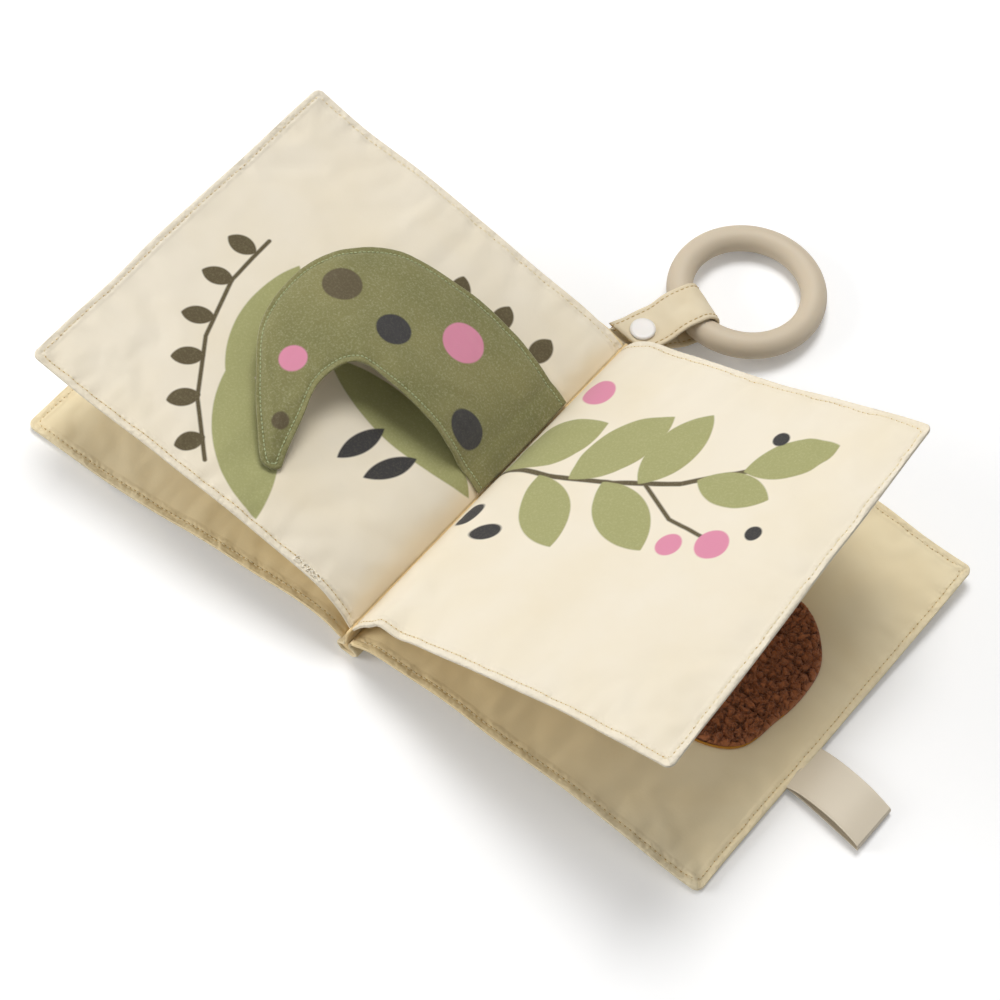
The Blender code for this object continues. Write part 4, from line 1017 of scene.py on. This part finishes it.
# Woven cotton: matt, with a fine weave, faint slubs and gathers at the seam; the prints sink into it with pale flecks
def clothMaterial(name, base, deep=None, mottle=0.30, prints=(), fleckTone="paleFleck", speckle=0.0, fuzz=0.12,
                  leaf=None, fold=None):
    material, tree, shader = newMaterial(name, 0.92, 0.25, sheen=fuzz)
    place = addNode(tree, "UVMap", uv_map="cut")
    solid = addNode(tree, "TexCoord").outputs["Object"]
    across, along = addNode(tree, "SeparateXYZ", {0: place}).outputs[:2]
    grain = addNode(tree, "TexNoise", {"Vector": solid, "Scale": marks["fleck"], "Detail": 3.0, "Roughness": 0.7})
    flecks = addNode(tree, "MapRange", {"Value": grain, 1: 0.48, 2: 0.76, 3: 0.0, 4: 1.0})
    layers = []
    if deep:
        clouds = addNode(tree, "TexNoise", {"Vector": solid, "Scale": marks["cloud"], "Detail": 3.0})
        patchy = addNode(tree, "MapRange", {"Value": clouds, 1: 0.35, 2: 0.75, 3: 0.0, 4: mottle})
        layers.append((patchy, linear(colours[deep])))
    if speckle:
        layers.append((addNode(tree, "Math", {0: flecks, 1: speckle}, operation="MULTIPLY"), linear(colours[fleckTone])))
    if fold:                                              # painted shade: the cloth takes a deeper tone toward the fold, where the fold lies in shade
        tone, start, stop, most = fold
        near = addNode(tree, "MapRange", {"Value": across, 1: start, 2: stop, 3: most, 4: 0.0},
                       interpolation_type="SMOOTHSTEP")
        layers.append((near, linear(colours[tone])))
    for ink, shapes in prints:
        share = addNode(tree, "Math", {0: flecks, 1: inkFlecks[ink]}, operation="MULTIPLY")
        mask = shapes[0](tree, place)
        for shape in shapes[1:]:
            mask = addNode(tree, "Math", {0: mask, 1: shape(tree, place)}, operation="MAXIMUM")
        layers.append((mask, addNode(tree, "Mix", {0: share, 6: linear(colours[ink]), 7: linear(colours[fleckTone])},
                                     data_type="RGBA")))
    colour = linear(colours[base])
    for mask, tone in layers:
        colour = addNode(tree, "Mix", {0: mask, 6: colour, 7: tone}, data_type="RGBA")
    waves = [addNode(tree, "Math", {0: addNode(tree, "Math", {0: part, 1: 2 * pi / weave["pitch"]}, operation="MULTIPLY")},
                     operation="SINE") for part in (across, along)]
    crossing = addNode(tree, "Math", {0: waves[0], 1: waves[1]}, operation="MULTIPLY")
    slub = addNode(tree, "TexNoise", {"Vector": place, "Scale": marks["slub"], "Detail": 2.0})
    height = addNode(tree, "Math", {0: crossing, 1: 0.5, 2: slub}, operation="MULTIPLY_ADD")
    if leaf:                                              # the topstitch gathers the rim into fine puckers
        inset = along
        for edge, side in ((leaf["reach"], across), (leaf["length"], along)):
            gap = addNode(tree, "Math", {0: edge, 1: side}, operation="SUBTRACT")
            inset = addNode(tree, "Math", {0: inset, 1: gap}, operation="MINIMUM")
        mask = addNode(tree, "MapRange", {"Value": inset, 1: weave["rimStart"], 2: weave["rimStop"],
                                          3: weave["pucker"] / weave["height"], 4: 0.0}, interpolation_type="SMOOTHSTEP")
        gathers = addNode(tree, "TexNoise", {"Vector": solid, "Scale": marks["gather"], "Detail": 1.0})
        height = addNode(tree, "Math", {0: mask, 1: gathers, 2: height}, operation="MULTIPLY_ADD")
    bump = addNode(tree, "Bump", {"Height": height, "Distance": weave["height"], "Strength": weave["depth"]})
    link(tree, shader, {"Base Color": colour, "Normal": bump})
    return material


# One plain tone over a fine grain
def plainMaterial(name, tone, roughness, specular, grain=0.00002, scale=marks["thread"], sheen=0.0, subsurface=0.0):
    material, tree, shader = newMaterial(name, roughness, specular, sheen, subsurface)
    solid = addNode(tree, "TexCoord").outputs["Object"]
    noise = addNode(tree, "TexNoise", {"Vector": solid, "Scale": scale, "Detail": 2.0})
    bump = addNode(tree, "Bump", {"Height": noise, "Distance": grain, "Strength": 1.0})
    link(tree, shader, {"Base Color": linear(colours[tone]), "Normal": bump})
    return material


# Sherpa pile: clumps of curled fibre with a soft bloom, and painted shade that darkens the colour down between them
def fleeceMaterial():
    material, tree, shader = newMaterial("curly sherpa pile", 0.95, 0.15, sheen=0.25)
    lump = addNode(tree, "Attribute", attribute_name="lump").outputs["Fac"]
    solid = addNode(tree, "TexCoord").outputs["Object"]
    fibre = addNode(tree, "TexNoise", {"Vector": solid, "Scale": marks["fibre"], "Detail": 3.0})
    top = addNode(tree, "MapRange", {"Value": lump, 1: 0.1, 2: 0.8, 3: 0.0, 4: 1.0})
    wiry = addNode(tree, "Math", {0: fibre, 1: 0.9, 2: -0.45}, operation="MULTIPLY_ADD")
    tone = addNode(tree, "Math", {0: top, 1: wiry}, operation="ADD", use_clamp=True)
    colour = addNode(tree, "Mix", {0: tone, 6: linear(colours["fleeceShade"]), 7: linear(colours["fleece"])},
                     data_type="RGBA")
    bump = addNode(tree, "Bump", {"Height": fibre, "Distance": 0.0004, "Strength": 1.0})
    link(tree, shader, {"Base Color": colour, "Normal": bump})
    return material


# Printed shapes, in metres on the cut cloth
def turnedPlace(tree, place, centre, turn):
    moved = addNode(tree, "Mapping", {"Vector": place, "Location": (-centre[0], -centre[1], 0)})
    return addNode(tree, "VectorRotate", {"Vector": moved, "Angle": turn}, rotation_type="Z_AXIS")


def within(tree, away, radius):
    distance = addNode(tree, "VectorMath", {0: away}, operation="LENGTH")
    return addNode(tree, "MapRange", {"Value": distance, 1: radius - inkBlur, 2: radius + inkBlur, 3: 1.0, 4: 0.0})


def dot(centre, radius, stretch=1.0, turn=0.0):
    def shape(tree, place):
        turned = turnedPlace(tree, place, centre, turn)
        return within(tree, addNode(tree, "VectorMath", {0: turned, 1: (1, 1 / stretch, 0)}, operation="MULTIPLY"), radius)
    return shape


def leaflet(base, length, width, turn):
    half, breadth = length / 2, width / 2
    radius = (half * half + breadth * breadth) / (2 * breadth)

    def shape(tree, place):
        turned = turnedPlace(tree, place, base, -radians(turn))
        sides = [within(tree, addNode(tree, "VectorMath", {0: turned, 1: (-half, side * (radius - breadth), 0)},
                                      operation="ADD"), radius) for side in (1, -1)]
        return addNode(tree, "Math", {0: sides[0], 1: sides[1]}, operation="MULTIPLY")
    return shape


def twig(start, end, width):
    reach = Vector((end[0] - start[0], end[1] - start[1], 0))

    def shape(tree, place):
        away = addNode(tree, "VectorMath", {0: place, 1: (start[0], start[1], 0)}, operation="SUBTRACT")
        share = addNode(tree, "VectorMath", {0: away, 1: tuple(reach / reach.length_squared)}, operation="DOT_PRODUCT")
        held = addNode(tree, "Math", {0: share, 1: 0.0}, operation="ADD", use_clamp=True)
        onto = addNode(tree, "VectorMath", {0: tuple(reach), "Scale": held}, operation="SCALE")
        left = addNode(tree, "VectorMath", {0: away, 1: onto}, operation="SUBTRACT")
        return within(tree, left, width / 2)
    return shape


def stem(width, *points):
    return [twig(start, end, width) for start, end in zip(points, points[1:])]


def leaflets(*rows):
    return [leaflet(*row) for row in rows]


def dots(*rows):
    return [dot(*row) for row in rows]


rightPrints = (
    ("darkOlive", stem(0.0026, (-0.016, 0.090), (0.014, 0.093), (0.044, 0.100), (0.072, 0.111), (0.096, 0.127))
     + stem(0.0018, (0.058, 0.105), (0.080, 0.094), (0.104, 0.091))),
    ("paleOlive", leaflets(((-0.010, 0.091), 0.046, 0.023, 52), ((0.010, 0.092), 0.045, 0.022, -42),
                           ((0.024, 0.095), 0.050, 0.025, 66), ((0.040, 0.099), 0.046, 0.022, -30),
                           ((0.055, 0.104), 0.044, 0.022, 84), ((0.078, 0.115), 0.036, 0.018, 4),
                           ((0.094, 0.126), 0.040, 0.020, 40))),
    ("pink", dots(((0.106, 0.090), 0.0072), ((0.089, 0.083), 0.0056), ((0.002, 0.140), 0.0070))),
    ("charcoal", dots(((0.119, 0.101), 0.0036), ((0.098, 0.146), 0.0036), ((-0.004, 0.064), 0.0040, 1.7, 0.4),
                      ((0.010, 0.058), 0.0040, 1.7, 0.9))))
leftPrints = (
    ("darkOlive", stem(0.0018, (0.121, 0.104), (0.120, 0.080), (0.110, 0.053), (0.093, 0.029), (0.072, 0.010))),
    ("darkOlive", leaflets(((0.121, 0.096), 0.014, 0.0085, -8), ((0.119, 0.080), 0.014, 0.0085, -20),
                           ((0.113, 0.062), 0.014, 0.0085, -32), ((0.104, 0.046), 0.014, 0.0085, -44),
                           ((0.093, 0.031), 0.014, 0.0085, -52), ((0.079, 0.018), 0.013, 0.008, -60),
                           ((0.046, 0.134), 0.015, 0.009, 62), ((0.027, 0.136), 0.015, 0.009, 76),
                           ((0.008, 0.136), 0.015, 0.009, 88))),
    ("paleOlive", leaflets(((0.040, 0.004), 0.074, 0.026, 42), ((0.086, 0.040), 0.066, 0.024, 74),
                           ((-0.014, 0.075), 0.082, 0.021, 3))),
    ("charcoal", leaflets(((0.012, 0.069), 0.024, 0.0085, -66), ((0.030, 0.070), 0.024, 0.0085, -78))))
flapPrints = (("pink", dots(((0.030, 0.115), 0.0090), ((0.0715, 0.060), 0.0054))),
              ("charcoal", dots(((0.052, 0.096), 0.0070), ((0.006, 0.090), 0.0068))),
              ("darkOlive", dots(((0.079, 0.098), 0.0078), ((0.0590, 0.0385), 0.0034))))

leafCotton = {
    "leftPage": clothMaterial("printed cream cotton, left page", "cream", "creamDeep", prints=leftPrints,
                              leaf=leaves["leftPage"], fold=paintedGutterShade),
    "rightPage": clothMaterial("printed cream cotton, right page", "cream", "creamDeep", prints=rightPrints,
                               leaf=leaves["rightPage"], fold=paintedGutterShade),
    "frontCover": clothMaterial("cream cotton, front cover", "cover", "coverMottleAndPaintedShade", leaf=leaves["frontCover"], fold=paintedCoverShade),
    "backCover": clothMaterial("cream cotton, back cover", "cover", "coverMottleAndPaintedShade", leaf=leaves["backCover"], fold=paintedCoverShade)}
spineCotton = clothMaterial("cream cotton, spine", "cover", "coverMottleAndPaintedShade", mottle=0.6)
# painted shade: the binding is given the deeper ochre gutter tone for the warm shade down in the crease
gutterCotton = clothMaterial("cream cotton, gutter binding", "gutter")
strapCotton = clothMaterial("cream cotton, ring strap", "strap", "strapDeep", mottle=0.9)
flapCotton = clothMaterial("brushed olive cotton", "olive", "oliveDeep", mottle=0.8, prints=flapPrints,
                           fleckTone="oliveFleck", speckle=0.55, fuzz=0.35)
# Mercerised cotton thread: a little smoother than the cloth, so each stitch catches a small light
creamThread = plainMaterial("cream cotton thread", "creamThread", 0.8, 0.3)
tackThread = plainMaterial("cream cotton thread, bunched", "tackThread", 0.8, 0.3)
strapThread = plainMaterial("ochre cotton thread", "strapThread", 0.8, 0.3)
oliveThread = plainMaterial("pale olive thread", "oliveThread", 0.8, 0.3)
edgeThread = plainMaterial("ochre edging thread", "fleeceEdge", 0.7, 0.3)
needleShade = plainMaterial("cotton shaded in the needle holes", "needleShade", 0.95, 0.1)
# Compression-moulded silicone: matt and slightly see-through, with a broad soft light
siliconeRing = plainMaterial("matt food-grade silicone", "ring", 0.55, 0.45, grain=0.00001, scale=marks["ring"],
                             subsurface=0.15)
# Moulded acetal: smooth, with a clear small light
snapPlastic = plainMaterial("moulded acetal snap", "snap", 0.35, 0.5, grain=0.000004, scale=marks["snap"], subsurface=0.1)
# Woven polyester satin: a low sheen along the ribbon
satinRibbon = plainMaterial("satin ribbon", "label", 0.45, 0.5, scale=marks["ribbon"], sheen=0.2)
sherpaPile = fleeceMaterial()
print("materials made")


# Stitching, materials and bodies: a piece rides one body, or, where it spans two, is baked in place
def dress(piece, where, material=None, nodes=()):
    if material:
        paint(piece, material)
    if nodes:
        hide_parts(*nodes)
    if isinstance(where, str):
        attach(piece, where)
    else:
        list(where)
        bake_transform(piece)
    return piece


def shoulderBend(parent, child, name):
    leaf = leaves[name]
    return (parent, child, *(tuple(middleOf(leaf, out, leaf["length"] / 2)) for out in (-0.006, 0.007)))


stitchSizes = {"flap": {"pitch": 0.0018, "length": 0.0015, "radius": 0.00031},
               "strap": {"pitch": 0.0024, "length": 0.0017},
               "patch": {"pitch": 0.0008, "length": 0.0019, "radius": patch["edgeRadius"]},
               "tack": {"pitch": 0.0009, "length": 0.0013, "radius": 0.00024},
               "hole": {"length": 0.0010, "radius": rim["holeRadius"]}}
leftShoulder = shoulderBend("front_cover", "left_page", "leftPage")
rightShoulder = shoulderBend("book_base", "right_page", "rightPage")
leafPlaces = {"leftPage": (leftShoulder, "left_page", ["left_page_gutter_fold"]),
              "rightPage": (rightShoulder, "right_page", ["right_page_gutter_fold"]),
              "frontCover": ("front_cover", "front_cover", []), "backCover": ("book_base", "back_cover", [])}
for name, (where, node, folds) in leafPlaces.items():
    start = leaves[name]["outs"][0] + (0.004 if "near" in leaves[name] else 0.006)
    runs = [leafSeam(name, face, start) for face in (1, -1)]
    thread = sew(name + "Stitches", runs, creamThread)
    halfway = [alongPath(run, np.arange(rim["stitchPitch"] / 2, pathLength(run), rim["stitchPitch"])) for run in runs]
    holes = sew(name + "Holes", halfway, needleShade, **stitchSizes["hole"])
    dress(joined(name + "Stitches", thread, holes), where)
    cloths = [node + part for part in ("_upper_cloth", "_crinkle_film", "_under_cloth")] + folds
    dress(leafPieces[name], where, leafCotton[name], cloths)
print("leaves sewn")

tackSteps = np.arange(0.0, 1.0, 0.004)                    # where the turning gap was closed, the thread bunches up
tackRuns = [leafFace("leftPage", 0.0045 + 0.0135 * tackSteps + 0.0007 * np.sin(40 * tackSteps + turn),
                     rim["stitchInset"] - 0.0006 + 0.0011 * np.sin(29 * tackSteps + 2 * turn),
                     np.full(len(tackSteps), rim["stitchInset"]), 1, 0.0002 + 0.0002 * turn) for turn in (0, 1, 2)]
dress(sew("turningGapStitches", tackRuns, tackThread, **stitchSizes["tack"]), leftShoulder)

flapRuns, flapRootRuns = flapSeams()
flapMiddle = leaves["leftPage"]["length"] / 2
flapBend = ("left_page", "flap", *(tuple(onLeaf(leaves["leftPage"], out, flapMiddle, flapBase)) for out in (0.011, 0.028)))
dress(sew("flapStitches", flapRuns, oliveThread, **stitchSizes["flap"]), flapBend)
dress(sew("flapRootStitches", flapRootRuns, oliveThread, **stitchSizes["flap"]), leftShoulder)
dress(flapLeaf, flapBend, flapCotton, ["flap_upper_cloth", "flap_padding", "flap_under_cloth"])
dress(flapRoot, leftShoulder, flapCotton, ["flap_gutter_edge"])

turns = np.linspace(0, 2 * pi, 300)
square = np.array((np.cos(turns), np.sin(turns))) / np.maximum(np.abs(np.cos(turns)), np.abs(np.sin(turns)))
wide, high = patchPlan(*square)
patch["area"] = abs(np.sum(wide[1:] * high[:-1] - wide[:-1] * high[1:])) / 2
wide, high = patchPlan(*(patch["edgeInset"] * square))
patchRing = patchFace(wide, high - patch["edgeShift"], patch["lift"] + 0.0001)
dress(sherpaPatch, "book_base", sherpaPile, ["sherpa_patch"])
dress(sew("patchEdgeStitches", [patchRing], edgeThread, **stitchSizes["patch"]), "book_base")
dress(growCurls(sherpaPile), "book_base")

labelRoot = middleOf(leaves["backCover"], leaves["backCover"]["reach"], 0.0675)
dress(careLabel, ("book_base", "label", tuple(labelRoot), tuple(labelRoot + np.array((0.004, 0, 0)))), satinRibbon,
      ["care_label"])
dress(spinePleat, "book_base", spineCotton, ["spine_cloth"])
dress(gutterBinding, "book_base", gutterCotton, ["gutter_seam"])

strapBend = ("book_base", "strap", *(tuple(onStrap(forward, 0, 0.0082)) for forward in (0.0005, 0.0045)))
loopTop, peel = onStrap(bendFromRoot, 0, ringLift + bendRadius), radians(62)
loopBack = loopTop + (strapForward * -cos(peel) + np.array((0, 0, sin(peel)))) * 0.0024
tongueBend = ("strap", "tongue", tuple(loopTop), tuple(loopBack))
dress(strapLeg, strapBend, strapCotton, ["ring_strap"])
dress(strapLoop, tongueBend, strapCotton, ["strap_tongue"])
for name, run, where in (("strapLegStitches", strapSeams[0], strapBend), ("strapLoopStitches", strapSeams[1], tongueBend)):
    dress(sew(name, run, strapThread, **stitchSizes["strap"]), where)
dress(snapCap, "tongue", snapPlastic, ["snap_cap"])
dress(snapBackCap, "strap", snapPlastic, ["snap_back_cap"])
dress(teethingRing, "ring", siliconeRing, ["teething_ring"])
for node in ("snap_stud", "snap_socket"):
    paint(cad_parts[node], snapPlastic)

print("pieces dressed")


# Studio: a white paper sweep that stays white to the camera but bounces light as pale grey
studio = {"floor": 6, "bounce": 0.80, "nearGlow": 0.12, "glowStart": 0.5, "glowStop": 1.4, "world": 0.29}


def makeFloor():
    bpy.ops.mesh.primitive_plane_add(size=studio["floor"], location=(0, 0, -0.0004))
    floor = bpy.context.object
    floor.name = "floor"
    material, tree, shader = newMaterial("white paper sweep", 0.9, 0.2)
    seen = addNode(tree, "LightPath").outputs["Is Camera Ray"]
    colour = addNode(tree, "Mix", {0: seen, 6: (studio["bounce"],) * 3 + (1,), 7: (1, 1, 1, 1)}, data_type="RGBA")
    place = addNode(tree, "TexCoord").outputs["Object"]
    away = addNode(tree, "VectorMath", {0: place}, operation="LENGTH")
    glow = addNode(tree, "MapRange", {"Value": away, 1: studio["glowStart"], 2: studio["glowStop"],
                                      3: studio["nearGlow"], 4: 1.0})
    strength = addNode(tree, "Math", {0: seen, 1: glow}, operation="MULTIPLY")
    link(tree, shader, {"Base Color": colour, "Emission Color": (1, 1, 1, 1), "Emission Strength": strength})
    floor.data.materials.append(material)


def makeLight(name, place, size, power):
    lamp = bpy.data.lights.new(name, "AREA")
    lamp.shape, lamp.size, lamp.size_y = "RECTANGLE", size, size
    lamp.energy = power
    piece = bpy.data.objects.new(name, lamp)
    bpy.context.scene.collection.objects.link(piece)
    aim(piece, place, (0, 0, 0))


def makeWorld():
    world = bpy.data.worlds.new("studio")
    bpy.context.scene.world = world
    world.use_nodes = True
    tree = world.node_tree
    seen = addNode(tree, "LightPath").outputs["Is Camera Ray"]
    strength = addNode(tree, "MapRange", {"Value": seen, 3: studio["world"], 4: 1.0})
    link(tree, tree.nodes["Background"], {"Color": (1, 1, 1, 1), "Strength": strength})


makeFloor()
makeLight("softKey", (-0.40, 0.78, 2.25), 1.0, 33)
makeLight("softFill", (0.9, 1.2, 2.2), 1.6, 3)
makeLight("softSide", (-1.6, -1.4, 0.9), 1.2, 23)
makeWorld()
bpy.context.scene.view_settings.view_transform = "Standard"

print("studio ready")
